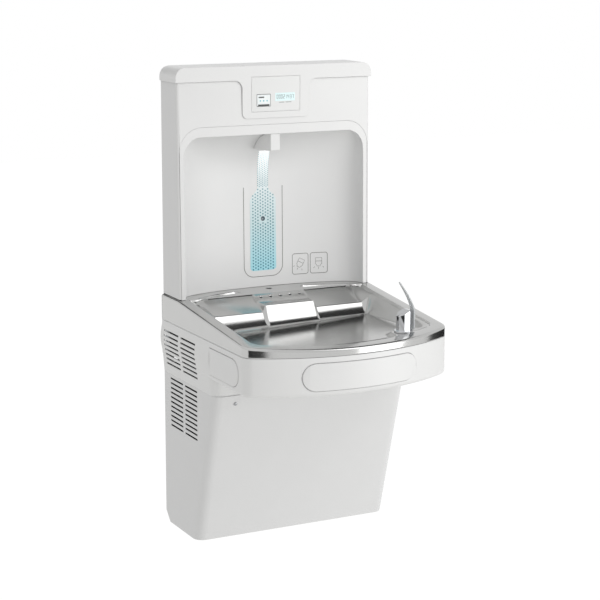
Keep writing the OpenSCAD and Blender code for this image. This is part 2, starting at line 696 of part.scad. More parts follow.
module drain_body() color("silver") translate([drain_x, -drain_d, 0]) rotate_extrude($fn = fine)
    polygon([[drain_in_r, drain_under_z - drain_body_l],
        [drain_in_r, drain_under_z - drain_body_l / 2],
        [drain_r - drain_body_wall, drain_seat_z - gap], [drain_r - gap, drain_seat_z - gap],
        [drain_r - gap, drain_under_z - gap], [drain_r + drain_flange, drain_under_z - gap],
        [drain_r + drain_flange, drain_under_z - drain_flange_t],
        [drain_out_r, drain_under_z - drain_neck],
        [drain_out_r, drain_under_z - drain_body_l + drain_flange],
        [waste_r, drain_under_z - drain_body_l]]);
waste_bulge = 1;
waste_pipe_r = waste_r + waste_bulge;
waste_tail_l = 20;
waste_wall = 1.5;
waste_fall = 8;
waste_drop = 60;
waste_run_z = skirt_z - waste_drop;
waste_lift = 62;
waste_end_z = foot_z + waste_lift;
waste_top_z = drain_under_z - drain_body_l - gap;
waste_points = [[drain_x, -drain_d, waste_top_z], [drain_x, -drain_d, waste_run_z],
    [waste_x, waste_y, waste_run_z - waste_fall],
    [waste_x, waste_y, waste_end_z + waste_tail_l]];
module waste_pipe() color("gainsboro") difference() {
    union() {
        tube_run(waste_points, waste_pipe_r, waste_pipe_r + elbow_swell);
        translate([waste_x, waste_y, waste_end_z])
            cylinder(r = waste_r, h = waste_tail_l + over, $fn = small);
    }
    tube_run([for (i = [0:3]) waste_points[i]
        + [0, 0, i == 0 ? over : i == 3 ? -waste_tail_l - over : 0]],
        waste_r - waste_wall, waste_r - waste_wall / 2);
}

// Bubbler: chromed body with a slanted mouth, a curved mouth guard and a nut below
bubbler_r = 16;
bubbler_flange_r = 20;
bubbler_flange_h = 4;
bubbler_h = 46;
mouth_slant = 28;
mouth_drop = 12;
mouth_bore_r = 4;
shank_bore_r = 3;
shank_drop = 16;
shank_z = skirt_z - shank_drop;
bubbler_z = boss_z + gap;
module bubbler_body() color("lightgray") translate([boss_x, -boss_d, 0]) difference() {
    union() {
        translate([0, 0, bubbler_z]) cylinder(r = bubbler_flange_r, h = bubbler_flange_h, $fn = fine);
        translate([0, 0, bubbler_z + bubbler_flange_h]) rotate([0, 0, 22.5])
            cylinder(r = bubbler_r, h = bubbler_h - bubbler_flange_h, $fn = 8);
        translate([0, 0, shank_z]) cylinder(r = bubbler_shank_r, h = bubbler_z - shank_z + over,
            $fn = small);
    }
    translate([-bubbler_r, 0, bubbler_z + bubbler_h - mouth_drop]) rotate([0, -mouth_slant, 0])
        translate([-bubbler_r, -bubbler_r - over, 0])
            cube([4 * bubbler_r, 2 * bubbler_r + 2 * over, bubbler_h]);
    translate([-bubbler_r / 3, 0, bubbler_z + bubbler_h / 3]) rotate([0, -mouth_slant, 0])
        cylinder(r = mouth_bore_r, h = bubbler_h, $fn = small);
    translate([0, 0, shank_z - over]) cylinder(r = shank_bore_r, h = bubbler_h, $fn = small);
}
guard_h = 104;
guard_w = 15;
guard_t = 4;
guard_foot_h = 44;
guard_lean = 36;
guard_tip_t = 1.2;
guard_rise = guard_h - guard_foot_h;
guard_r = (guard_rise * guard_rise + guard_lean * guard_lean) / (2 * guard_lean);
module bubbler_guard() color("silver") translate([boss_x + bubbler_r + gap, -boss_d, bubbler_z]) {
    translate([0, -guard_w / 2, bubbler_flange_h + gap])
        cube([guard_t, guard_w, guard_foot_h - bubbler_flange_h - gap]);
    translate([0, guard_w / 2, guard_foot_h]) rotate([90, 0, 0]) linear_extrude(guard_w)
        difference() {
            intersection() {
                translate([guard_t - guard_r, 0]) circle(r = guard_r, $fn = 4 * fine);
                translate([guard_t - guard_lean, 0]) square([guard_lean, guard_rise]);
            }
            translate([guard_tip_t - guard_r, -guard_tip_t])
                circle(r = guard_r - guard_tip_t / 2, $fn = 4 * fine);
        }
}
nut_r = 12;
nut_h = 8;
module bubbler_nut() color("gold") difference() {
    translate([boss_x, -boss_d, boss_z - pan_wall - gap - nut_h])
        cylinder(r = nut_r, h = nut_h, $fn = 6);
    translate([boss_x, -boss_d, shank_z]) cylinder(r = bubbler_shank_r + gap, h = skirt_h,
        $fn = small);
}

// Tower gasket: a dark rubber strip between the basin and the tower's foot
gasket_t = 1.2;
gasket_w = 5;
tower_z = deck_z + gasket_t;
function tower_d(z) = mix(tower_foot_d, tower_top_d, (z - deck_z) / tower_h);
module tower_gasket() color("black") translate([0, 0, deck_z]) for (s = [0, 1])
    mirror([s, 0, 0]) translate([tower_half_w - gasket_w, gap - rim_flat_d, 0])
        cube([gasket_w - gap, rim_flat_d - over, gasket_t]);

// Tower chassis: back plate and sides folded from one sheet
tower_r = 5;
return_d = 6;
band_z = tower_top_z - band_h;
chassis_top_z = band_z - gap;
module tower_solid(k, trim, back, z0, z1) skin([for (z = [z0, z1])
    housing_ring(tower_half_w - k, tower_d(z) - trim, tower_r - min(k, tower_r - 1), back, z)]);
tower_bolt_drop = 50;
tower_bolt_z = tower_top_z - tower_bolt_drop;
tower_bolt_x = tower_half_w - bolt_side;
back_plate_z = tower_top_z - mould_t - gap;
module tower_chassis() color("gainsboro") difference() {
    union() {
        translate([-tower_half_w, 0, 0]) across(0, tower_w) polygon([[0, tower_z],
            [return_d - tower_d(tower_z), tower_z],
            [return_d - tower_d(chassis_top_z), chassis_top_z], [0, chassis_top_z]]);
        facing(0, sheet_t) translate([cap_r - tower_half_w, chassis_top_z - over])
            square([tower_w - 2 * cap_r, back_plate_z - chassis_top_z + over]);
    }
    translate([sheet_t - tower_half_w, -tower_foot_d - over, deck_z])
        cube([tower_w - 2 * sheet_t, tower_foot_d + over - sheet_t, tower_h]);
    for (s = [-1, 1]) translate([s * tower_bolt_x, over, tower_bolt_z]) rotate([90, 0, 0])
        cylinder(r = bolt_hole_r, h = 4 * over, $fn = small);
}

// Tower front: moulded cover with thin legs around the arch and windows for the displays
border_top_w = 20;
lcd_x = 22;
lcd_drop = 69;
lcd_z = tower_top_z - lcd_drop;
lcd_w = 47;
lcd_h = 20;
lamp_x = -29;
lamp_drop = 6;
lamp_z = lcd_z - lamp_drop;
lamp_w = 31;
lamp_h = 28;
module display_holes(k) {
    translate([lcd_x, lcd_z]) square([lcd_w + 2 * k, lcd_h + 2 * k], center = true);
    translate([lamp_x, lamp_z]) square([lamp_w + 2 * k, lamp_h + 2 * k], center = true);
}
module arch_border_2d(k) {
    hw = alcove_half_w + border_w + k;
    top = deck_z + alcove_h + border_top_w + k;
    r = alcove_r + border_w + k;
    translate([-hw, deck_z - over]) square([2 * hw, top - r - deck_z + over]);
    translate([r - hw, top - 2 * r]) square([2 * (hw - r), 2 * r]);
    for (s = [-1, 1]) translate([s * (hw - r), top - r]) circle(r = r, $fn = 2 * fine);
}
module tower_front() color("whitesmoke") difference() {
    tower_solid(0, 0, -tower_top_d + return_d + gap, tower_z, chassis_top_z);
    translate([0, 0, -over]) tower_solid(sheet_t, mould_t, over, tower_z, chassis_top_z + 2 * over);
    across(-station_w, station_w) polygon([[over, tower_z - over],
        [return_d - gap - tower_d(tower_z), tower_z - over],
        [return_d - gap - tower_d(chassis_top_z), chassis_top_z + over],
        [over, chassis_top_z + over]]);
    facing(0, station_d) arch_border_2d(gap);
    facing(0, station_d) display_holes(0);
}

// Tower cap: top band moulded in one with the display tab
cap_r = 22;
cap_draft = 4;
cap_face_d = tower_foot_d - cap_draft;
tab_flare_r = 18;
tab_foot_r = 12;
window_half_w = 57.5;
window_h = 74;
window_drop = 29;
window_z = lcd_z - window_drop;
window_sink = 0.6;
module cap_band_2d(k, low_z) intersection() {
    hw = tower_half_w + band_proud - k;
    top = tower_top_z - k;
    r = cap_r - k;
    union() {
        translate([-hw, low_z]) square([2 * hw, top - r - low_z]);
        translate([r - hw, low_z]) square([2 * (hw - r), top - low_z]);
        for (s = [-1, 1]) translate([s * (hw - r), top - r]) circle(r = r, $fn = 2 * fine);
    }
    translate([-hw, low_z]) square([2 * hw, top - low_z]);
}
module tab_2d() {
    low = band_z - tab_h;
    translate([-tab_half_w, low + tab_foot_r]) square([2 * tab_half_w, tab_h - tab_foot_r]);
    translate([tab_foot_r - tab_half_w, low]) square([2 * (tab_half_w - tab_foot_r), tab_foot_r]);
    for (s = [-1, 1]) translate([s * (tab_half_w - tab_foot_r), low + tab_foot_r])
        circle(r = tab_foot_r, $fn = fine);
    difference() {
        translate([-tab_half_w - tab_flare_r, band_z - tab_flare_r])
            square([2 * (tab_half_w + tab_flare_r), tab_flare_r]);
        for (s = [-1, 1]) translate([s * (tab_half_w + tab_flare_r), band_z - tab_flare_r])
            circle(r = tab_flare_r, $fn = fine);
    }
}
tab_back_d = tower_d(band_z - tab_h) + gap;
module window_2d(k) translate([0, window_z + window_h / 2])
    square([2 * (window_half_w + k), window_h + 2 * k], center = true);
module tower_cap() color("whitesmoke") difference() {
    union() {
        facing(gap, cap_face_d) cap_band_2d(0, band_z);
        facing(tab_back_d, cap_face_d) tab_2d();
    }
    facing(-over, cap_face_d - mould_t) cap_band_2d(mould_t, band_z - over);
    facing(cap_face_d - window_sink, cap_face_d + over) window_2d(0);
    facing(0, station_d) display_holes(0);
}
lens_skin = 0.1;
lens_t = window_sink - lens_skin;
module display_lens() color("lightsteelblue")
    facing(cap_face_d - window_sink, cap_face_d - window_sink + lens_t) window_2d(-gap);

// Alcove liner: one moulding with a border and a hollow that closes in a curve above
liner_t = 2.5;
alcove_curl = 96;
alcove_power = 2.2;
ring_n = 28;
ceiling_levels = [0, 0.3, 0.5, 0.66, 0.78, 0.87, 0.935, 0.975, 0.995];
mouth_d = 6;
function hollow_ring(k, z, front, share) = let (
    corner = clamp01((z - (deck_z + alcove_h - alcove_r)) / (alcove_r + k)),
    hw = alcove_half_w + k - (alcove_r + k) * (1 - sqrt(1 - corner * corner)),
    d = (alcove_d - mouth_d + k) * share)
    [for (p = concat([[-hw, front - mouth_d]], [[hw, front - mouth_d]],
        [for (i = [0:ring_n]) let (a = 180 * i / ring_n)
            [hw * sign(cos(a)) * pow(abs(cos(a)), 2 / alcove_power),
                d * pow(sin(a), 2 / alcove_power)]]))
        [p[0], p[1] + mouth_d - tower_d(z), z]];
function hollow_share(t) = sqrt(max(0, 1 - t * t));
module hollow(k, z0, front) skin(concat([hollow_ring(k, z0, front, 1)],
    [for (t = ceiling_levels) hollow_ring(k,
        mix(deck_z + alcove_h - alcove_curl, deck_z + alcove_h + k, t), front,
        hollow_share(t))]));
liner_z = deck_z + gap;
border_sink = 0.4;
nozzle_d = 50;
nozzle_r = 8;
nozzle_neck_t = 1;
nozzle_neck_r = inlet_r + nozzle_neck_t;
nozzle_neck_h = 10;
lamp_depth = 8;
light_d = 66;
light_r = 4;
eye_r = 5.6;
eye_proud = 0.8;
eye_dish = 0.6;
eye_rim = 1.2;
eye_rise = 151;
eye_z = deck_z + eye_rise;
module alcove_liner() color("gainsboro") difference() {
    union() {
        hollow(liner_t, liner_z, border_sink);
        intersection() {
            facing(tower_top_d - mould_t - over, tower_foot_d + over) arch_border_2d(0);
            across(-station_w, station_w) polygon([
                [-tower_d(liner_z) + mould_t, liner_z],
                [-tower_d(liner_z) + border_sink, liner_z],
                [-tower_d(tower_top_z) + border_sink, tower_top_z],
                [-tower_d(tower_top_z) + mould_t, tower_top_z]]);
        }
    }
    hollow(0, deck_z - over, -over);
    translate([0, -nozzle_d, deck_z + alcove_h / 2])
        cylinder(r = nozzle_r + gap, h = alcove_h, $fn = small);
    translate([0, 0, eye_z]) rotate([90, 0, 0]) cylinder(r = eye_r + gap, h = tower_foot_d, $fn = small);
}

// Nozzle hood: wedge that grows out of the alcove's ceiling
hood_rise = 307;
hood_low_z = deck_z + hood_rise;
hood_h = 44;
hood_top_z = hood_low_z + hood_h;
hood_edge = 2;
hood_back_hw = 32;
hood_front_hw = 11;
hood_back_d = 22;
hood_front_d = 83;
module hood_shape(k) hull() {
    translate([k - hood_back_hw, -hood_back_d - hood_edge, hood_low_z + k])
        cube([2 * (hood_back_hw - k), hood_edge, hood_h]);
    translate([k - hood_front_hw, k - hood_front_d, hood_low_z + k])
        cube([2 * (hood_front_hw - k), hood_edge, hood_h]);
}
module nozzle_hood() color("whitesmoke") difference() {
    intersection() {
        hood_shape(0);
        hollow(-gap, deck_z, -over);
    }
    translate([0, -nozzle_d, hood_low_z - over]) cylinder(r = nozzle_r + gap, h = hood_h + 3 * over,
        $fn = small);
    translate([0, -light_d, hood_low_z - over]) cylinder(r = light_r + gap, h = hood_h + 3 * over,
        $fn = small);
}
nozzle_bore_r = 4.5;
nozzle_low_z = hood_low_z - mould_t;
nozzle_top_z = deck_z + alcove_h + nozzle_r + 2 * over;
module laminar_nozzle() color("lightgray") translate([0, -nozzle_d, 0]) difference() {
    union() {
        translate([0, 0, nozzle_low_z]) cylinder(r = nozzle_r, h = nozzle_top_z - nozzle_low_z,
            $fn = fine);
        translate([0, 0, nozzle_top_z]) cylinder(r = nozzle_neck_r, h = nozzle_neck_h, $fn = small);
    }
    translate([0, 0, nozzle_low_z - over]) cylinder(r = nozzle_bore_r,
        h = nozzle_top_z - nozzle_low_z, $fn = small);
}
module nozzle_light() color("white") translate([0, -light_d, hood_low_z])
    cylinder(r = light_r, h = lamp_depth, $fn = small);
eye_back_d = tower_d(eye_z) - alcove_d;
eye_l = liner_t + eye_r;
module sensor_eye() color("black") translate([0, -eye_back_d - eye_proud, eye_z])
    rotate([-90, 0, 0]) rotate_extrude($fn = small) polygon([[0, eye_dish], [eye_r - eye_rim, 0],
        [eye_r, eye_proud], [eye_r, eye_l], [0, eye_l]]);

// Display module behind the windows, on four posts
board_t = 1.6;
board_edge = 5;
board_post_r = 2.5;
display_play = 1;
display_back = 8;
display_half_w = window_half_w - mould_t - over / 4;
display_h = 54;
display_d = tower_top_d - mould_t - display_back;
module display_module() color("darkgreen") {
    facing(display_d, display_d + board_t) translate([0, lcd_z])
        square([2 * display_half_w, display_h], center = true);
    facing(display_d + board_t / 2, tab_back_d - gap) display_holes(-display_play);
    for (x = [-1, 1], z = [-1, 1])
        translate([x * (display_half_w - board_edge), 0, lcd_z + z * (display_h / 2 - board_edge)])
            facing(display_d, tower_top_d - mould_t - gap) circle(r = board_post_r, $fn = small);
}

// Control board on standoffs in the tower's head, with its relay and transformer
control_x = -120;
control_drop = 90;
control_z = tower_top_z - control_drop;
control_w = 120;
control_h = 80;
control_d = 12;
standoff_r = 3;
standoff_edge = 8;
transformer_w = 36;
transformer_h = 40;
transformer_t = 22;
relay_w = 24;
relay_h = 20;
relay_t = 18;
module control_board() color("darkgreen") {
    facing(control_d, control_d + board_t) translate([control_x, control_z])
        square([control_w, control_h], center = true);
    for (x = [-1, 1], z = [-1, 1])
        facing(sheet_t + gap, control_d + board_t + over)
            translate([control_x + x * (control_w / 2 - standoff_edge),
                control_z + z * (control_h / 2 - standoff_edge)]) circle(r = standoff_r, $fn = small);
    facing(control_d, control_d + transformer_t) translate([control_x - control_w / 4, control_z])
        square([transformer_w, transformer_h], center = true);
    facing(control_d, control_d + relay_t)
        translate([control_x + control_w / 5, control_z - control_h / 6])
            square([relay_w, relay_h], center = true);
}

// Filler valve with its coil, and the riser tube behind the liner
valve_x = 100;
valve_drop = 90;
valve_z = tower_top_z - valve_drop;
valve_d = 34;
valve_r = 13;
valve_low = 22;
valve_h = 30;
valve_coil_r = 16;
valve_coil_h = 26;
valve_foot_w = 16;
module filler_valve() color("royalblue") {
    translate([valve_x, -valve_d, valve_z - valve_low]) cylinder(r = valve_r, h = valve_h, $fn = fine);
    translate([valve_x, -valve_d, valve_z - valve_low + valve_h])
        cylinder(r = valve_coil_r, h = valve_coil_h, $fn = fine);
    facing(sheet_t + gap, valve_d) translate([valve_x, valve_z])
        square([valve_foot_w, valve_foot_w - over], center = true);
}
riser_x = wire_slot_x;
riser_y = -2 * inlet_r;
riser_drop = 40;
riser_low_z = skirt_z - riser_drop;
riser_bend_z = valve_z - valve_low - 4 * inlet_r;
module riser_tube() color("white") {
    tube_run([[tank_x, tank_y + port_span, port_top_z + gap],
        [tank_x, tank_y + port_span, riser_low_z], [riser_x, riser_y, riser_low_z],
        [riser_x, riser_y, riser_bend_z], [valve_x, -valve_d, riser_bend_z],
        [valve_x, -valve_d, valve_z - valve_low - gap]], inlet_r, inlet_r + elbow_swell);
    tube_run([[valve_x - valve_r - gap, -valve_d, valve_z], [0, -nozzle_d, valve_z],
        [0, -nozzle_d, nozzle_top_z + nozzle_neck_h + gap]], inlet_r, inlet_r + elbow_swell);
}

// Compressor: hermetic can on a foot plate, and its rubber feet
can_r = 56;
can_rise = 16;
can_low_z = pan_z + pan_t + can_rise;
can_h = 128;
can_dome = 24;
band_rise = 70;
can_band_z = can_low_z + band_rise;
can_band = 2.5;
can_band_h = 5;
plate_t = 3;
plate_side = 12;
plate_half_w = stud_span + plate_side;
relay_box = [22, 30, 34];
relay_rise = 30;
relay_box_z = can_low_z + relay_rise;
module compressor() color("black") translate([compressor_x, compressor_y, 0]) {
    translate([0, 0, can_low_z]) rotate_extrude($fn = fine) union() {
        square([can_r, can_h - can_dome]);
        translate([0, can_h - can_dome]) square([can_r - can_dome, can_dome]);
        translate([can_r - can_dome, can_h - can_dome]) intersection() {
            circle(r = can_dome, $fn = fine);
            square([can_dome, can_dome]);
        }
    }
    translate([0, 0, can_band_z]) cylinder(r = can_r + can_band, h = can_band_h, $fn = fine);
    difference() {
        translate([-plate_half_w, -plate_half_w, can_low_z - plate_t])
            cube([2 * plate_half_w, 2 * plate_half_w, plate_t]);
        for (x = [-1, 1], y = [-1, 1])
            translate([x * stud_span, y * stud_span, can_low_z - plate_t - over])
                cylinder(r = foot_bore_r, h = plate_t + 2 * over, $fn = small);
    }
    translate([can_r - plate_side + 2 * over, 0, relay_box_z]) cube(relay_box);
}
feet_r = 9;
feet_waist = 2;
feet_h = can_rise - plate_t;
module compressor_feet() color("dimgray") translate([compressor_x, compressor_y, pan_z + pan_t])
    for (x = [-1, 1], y = [-1, 1]) translate([x * stud_span, y * stud_span, 0]) difference() {
        rotate_extrude($fn = small) polygon([[0, 0], [feet_r, 0], [feet_r, 2 * feet_waist],
            [feet_r - feet_waist, 3 * feet_waist], [feet_r, 4 * feet_waist], [feet_r, feet_h],
            [0, feet_h]]);
        translate([0, 0, -over]) cylinder(r = foot_bore_r, h = feet_h + 2 * over, $fn = small);
    }

// Condenser: finned block with header tubes, standing on the pan
cond_x = 16;
cond_w = 144;
cond_h = 160;
cond_t = 26;
cond_d = 126;
cond_z = pan_z + pan_t;
fin_n = 24;
fin_t = 0.8;
header_n = 7;
header_r = 4;
header_low = 11;
header_pitch = (cond_h - 2 * header_low) / (header_n - 1);
module condenser() color("silver") {
    for (i = [0:fin_n]) translate([cond_x - cond_w / 2 + i * (cond_w - fin_t) / fin_n,
        -cond_d - cond_t, cond_z]) cube([fin_t, cond_t, cond_h]);
    for (row = [0:header_n - 1]) translate([cond_x - cond_w / 2 - header_r, -cond_d - cond_t / 2,
        cond_z + header_low + row * header_pitch]) rotate([0, 90, 0])
            cylinder(r = header_r, h = cond_w + 2 * header_r, $fn = small);
}

// Condenser fan: shroud plate, motor on a strut and one set of blades
fan_x = cond_x;
fan_z = cond_z + cond_h / 2 + 2 * over;
fan_r = 60;
fan_play = 2;
fan_ring_t = 2;
fan_plate_t = 2;
fan_plate_d = cond_d - gap;
fan_depth = 22;
hub_r = 15;
hub_l = 14;
blade_n = 5;
blade_t = 2;
blade_w = 26;
blade_tilt = 32;
shaft_r = 3;
motor_r = 24;
motor_face_d = 96;
motor_l = 26;
strut_w = 14;
strut_t = 5;
slide_play = 1;
strut_back_d = motor_face_d - strut_t + slide_play;
module fan_shroud() color("dimgray") difference() {
    union() {
        facing(fan_plate_d - fan_plate_t, fan_plate_d) translate([fan_x, cond_z + cond_h / 2])
            square([cond_w, cond_h], center = true);
        facing(fan_plate_d - fan_depth, fan_plate_d) translate([fan_x, fan_z])
            circle(r = fan_r + fan_play + fan_ring_t, $fn = fine);
        facing(strut_back_d, strut_back_d + strut_t) translate([fan_x, cond_z + cond_h / 2])
            square([strut_w, cond_h], center = true);
        for (z = [cond_z + strut_t / 2, cond_z + cond_h - strut_t / 2])
            facing(strut_back_d, fan_plate_d) translate([fan_x, z])
                square([strut_w, strut_t], center = true);
    }
    facing(strut_back_d + strut_t, fan_plate_d + over) translate([fan_x, fan_z])
        circle(r = fan_r + fan_play, $fn = fine);
    facing(strut_back_d - over, strut_back_d + strut_t + over) translate([fan_x, fan_z])
        circle(r = shaft_r + slide_play, $fn = small);
}
module fan_motor() color("dimgray") {
    facing(strut_back_d - gap - motor_l, strut_back_d - gap) translate([fan_x, fan_z])
        circle(r = motor_r, $fn = fine);
    facing(strut_back_d - gap - over, motor_face_d + hub_l) translate([fan_x, fan_z])
        circle(r = shaft_r, $fn = small);
}
module fan_blades() color("gainsboro") translate([fan_x, -strut_back_d - strut_t - mould_t, fan_z])
    rotate([90, 0, 0]) difference() {
        union() {
            cylinder(r = hub_r, h = hub_l, $fn = small);
            for (i = [0:blade_n - 1]) rotate([0, 0, 360 * i / blade_n])
                translate([hub_r - over, 0, hub_l / 2]) rotate([blade_tilt, 0, 0])
                    translate([0, -blade_w / 2, -blade_t / 2])
                        cube([fan_r - hub_r - over, blade_w, blade_t]);
        }
        translate([0, 0, -over]) cylinder(r = shaft_r + slide_gap, h = hub_l, $fn = small);
    }

// Chiller: cold tank wrapped by its coil inside foam, on a shelf from the frame
tank_x = 50;
tank_y = -132;
tank_rise = 26;
tank_z = cond_z + cond_h + tank_rise;
tank_r = 38;
tank_h = 128;
tank_edge = 5;
coil_tube_r = 4;
coil_link_r = 2;
coil_mid_r = tank_r + gap + coil_tube_r;
coil_turns = 9;
coil_pitch = 11.2;
coil_low = 10;
coil_fine = 16;
foam_in_r = coil_mid_r + coil_tube_r + gap;
foam_t = 12;
foam_r = foam_in_r + foam_t;
foam_end = 14;
port_r = 5;
port_l = 6;
port_span = 14;
module chiller_tank() color("silver") translate([tank_x, tank_y, tank_z + foam_end + gap]) {
    rotate_extrude($fn = fine) polygon([[0, 0], [tank_r - tank_edge, 0], [tank_r, tank_edge],
        [tank_r, tank_h - tank_edge], [tank_r - tank_edge, tank_h], [0, tank_h]]);
    for (s = [-1, 1]) translate([0, s * port_span, tank_h - over])
        cylinder(r = port_r, h = foam_end + port_l + over, $fn = small);
}
module evaporator_coil() color("peru") translate([tank_x, tank_y, tank_z + foam_end + coil_low]) {
    for (i = [0:coil_turns - 1]) translate([0, 0, i * coil_pitch]) rotate_extrude($fn = small)
        translate([coil_mid_r, 0]) circle(r = coil_tube_r, $fn = coil_fine);
    translate([coil_mid_r, 0, 0])
        cylinder(r = coil_link_r, h = (coil_turns - 1) * coil_pitch, $fn = coil_fine);
}
module tank_insulation() color("khaki") translate([tank_x, tank_y, tank_z]) difference() {
    cylinder(r = foam_r, h = tank_h + 2 * foam_end + 2 * gap, $fn = fine);
    translate([0, 0, foam_end]) cylinder(r = foam_in_r, h = tank_h + 2 * gap, $fn = fine);
    for (s = [-1, 1]) translate([0, s * port_span, tank_h])
        cylinder(r = port_r + gap, h = 3 * foam_end, $fn = small);
}
shelf_t = 2;
shelf_lip = 30;
shelf_z = tank_z - gap - shelf_t;
module tank_shelf() color("silver") {
    translate([tank_x - foam_r, tank_y - foam_r, shelf_z])
        cube([2 * foam_r, -frame_t - gap - tank_y + foam_r, shelf_t]);
    translate([tank_x - foam_r, -frame_t - gap - shelf_t, shelf_z - shelf_lip])
        cube([2 * foam_r, shelf_t, shelf_lip + shelf_t]);
}

// Water filter: head on a bracket and a quarter-turn cartridge
filter_side = 57;
filter_x = cab_half_w - filter_side;
filter_y = -96;
filter_r = 38;
filter_rise = 10;
filter_z = pan_z + pan_t + filter_rise;
filter_h = 250;
filter_round = 10;
filter_bevel = 3;
filter_shoulder = 16;
filter_slope = 5;
filter_neck_r = 18;
filter_neck_h = 22;
filter_collar = 4;
grip_n = 8;
grip_w = 4;
grip_t = 3;
grip_low = 12;
grip_h = 30;
head_r = 27;
head_h = 34;
head_play = 1;
head_z = filter_z + filter_h + head_play;
head_port_r = 8;
head_port_l = 12;
head_port_z = head_z + filter_neck_h;
head_arm_w = 32;
head_arm_h = 8;
head_plate = [44, 4, 44];
module filter_cartridge() color("white") translate([filter_x, filter_y, filter_z]) {
    rotate_extrude($fn = fine) union() {
        polygon([[0, 0], [filter_r - filter_round, 0], [filter_r - filter_bevel, filter_bevel],
            [filter_r, filter_round], [filter_r, filter_h - filter_shoulder],
            [filter_r - filter_slope, filter_h - filter_shoulder / 2],
            [filter_neck_r + filter_collar, filter_h], [0, filter_h]]);
        translate([0, filter_h - over]) square([filter_neck_r, filter_neck_h + over]);
    }
    for (i = [0:grip_n - 1]) rotate([0, 0, 360 * i / grip_n])
        translate([filter_r - over, -grip_w / 2, grip_low]) cube([grip_t, grip_w, grip_h]);
}
module filter_head() color("midnightblue") difference() {
    union() {
        translate([filter_x, filter_y, head_z]) cylinder(r = head_r, h = head_h, $fn = fine);
        translate([filter_x - head_arm_w / 2, filter_y, head_z + head_h - head_arm_h - over])
            cube([head_arm_w, -filter_y - frame_t - gap, head_arm_h]);
        translate([filter_x - head_plate[0] / 2, -frame_t - gap - head_plate[1],
            head_z + head_h - 3 * head_arm_h]) cube(head_plate);
        translate([filter_x - head_r - head_port_l, filter_y, head_port_z]) rotate([0, 90, 0])
            cylinder(r = head_port_r, h = 2 * head_r + 2 * head_port_l, $fn = small);
    }
    translate([filter_x, filter_y, head_z - over])
        cylinder(r = filter_neck_r + slide_gap, h = filter_neck_h + over, $fn = fine);
}

// Inlet coupler on the frame: the plain tube below takes the building's supply
coupler_lift = 84;
coupler_z = foot_z + coupler_lift;
coupler_h = 34;
coupler_r = 10;
coupler_arm_w = 14;
coupler_arm_h = 12;
inlet_l = 40;
supply_r = 3.2;
module inlet_coupler() color("gold") {
    translate([coupler_x, coupler_y, coupler_z]) cylinder(r = coupler_r, h = coupler_h, $fn = 6);
    translate([coupler_x, coupler_y, coupler_z - inlet_l])
        cylinder(r = inlet_r, h = inlet_l + over, $fn = small);
    translate([coupler_x - coupler_arm_w / 2, coupler_y, coupler_z + coupler_arm_h / 2])
        cube([coupler_arm_w, -coupler_y - frame_t - gap, coupler_arm_h]);
}
module supply_tube() color("white")
    tube_run([[coupler_x, coupler_y, coupler_z + coupler_h + gap],
        [coupler_x, coupler_y, head_port_z], [coupler_x, filter_y, head_port_z],
        [filter_x - head_r - head_port_l - gap, filter_y, head_port_z]],
        supply_r, supply_r + elbow_swell);

// Bubbler valve on the apron's floor and its two tubes
reg_side = 46;
reg_x = boss_x - reg_side;
reg_set = 28;
reg_d = boss_d - reg_set;
reg_z = apron_floor_z + gap;
reg_body = [30, 24, 20];
reg_coil_r = 11;
reg_coil_h = 22;
reg_port_r = 5;
reg_port_l = 8;
reg_port_z = reg_z + reg_body[2] / 2;
module bubbler_valve() color("gray") {
    translate([reg_x - reg_body[0] / 2, -reg_d - reg_body[1] / 2, reg_z]) cube(reg_body);
    translate([reg_x, -reg_d, reg_z + reg_body[2] - over])
        cylinder(r = reg_coil_r, h = reg_coil_h + over, $fn = fine);
    translate([reg_x + reg_body[0] / 2 - over, -reg_d, reg_port_z]) rotate([0, 90, 0])
        cylinder(r = reg_port_r, h = reg_port_l + over, $fn = small);
    translate([reg_x, -reg_d + reg_body[1] / 2 - over, reg_port_z]) rotate([-90, 0, 0])
        cylinder(r = reg_port_r, h = reg_port_l + over, $fn = small);
}
port_top_z = tank_z + tank_h + 2 * foam_end + port_l;
module bubbler_tube() color("white") {
    tube_run([[reg_x + reg_body[0] / 2 + reg_port_l + gap, -reg_d, reg_port_z],
        [boss_x, -reg_d, reg_port_z], [boss_x, -boss_d, reg_port_z],
        [boss_x, -boss_d, shank_z - gap]], supply_r, supply_r + elbow_swell);
    tube_run([[reg_x, -reg_d + reg_body[1] / 2 + reg_port_l + gap, reg_port_z],
        [reg_x, tank_y - port_span, reg_port_z], [tank_x, tank_y - port_span, reg_port_z],
        [tank_x, tank_y - port_span, port_top_z + gap]], supply_r, supply_r + elbow_swell);
}

// Electrical box on the frame, with the gland for the supply lead
box_w = 50;
box_h = 60;
box_wall = 2;
box_front = 13;
box_y = gland_y - box_front;
box_d = -frame_t - gap - box_y;
box_lift = 60;
box_z = foot_z + box_lift;
gland_l = 16;
gland_hex_r = 11;
gland_r = 8;
gland_in = 12;
module junction_box() color("silver") difference() {
    translate([gland_x - box_w / 2, box_y, box_z]) cube([box_w, box_d, box_h]);
    translate([gland_x - box_w / 2 + box_wall, box_y + box_wall, box_z + box_wall])
        cube([box_w - 2 * box_wall, box_d - 2 * box_wall, box_h - 2 * box_wall]);
    translate([gland_x, gland_y, box_z - over]) cylinder(r = gland_r + gap, h = 3 * over, $fn = small);
}
module cable_gland() color("black") translate([gland_x, gland_y, box_z]) difference() {
    union() {
        translate([0, 0, -gland_l]) cylinder(r = gland_hex_r, h = gland_l - gap, $fn = 6);
        translate([0, 0, -gap - over]) cylinder(r = gland_r, h = gland_in, $fn = small);
    }
    translate([0, 0, -gland_l - over]) cylinder(r = gland_bore_r, h = 3 * gland_l, $fn = small);
}

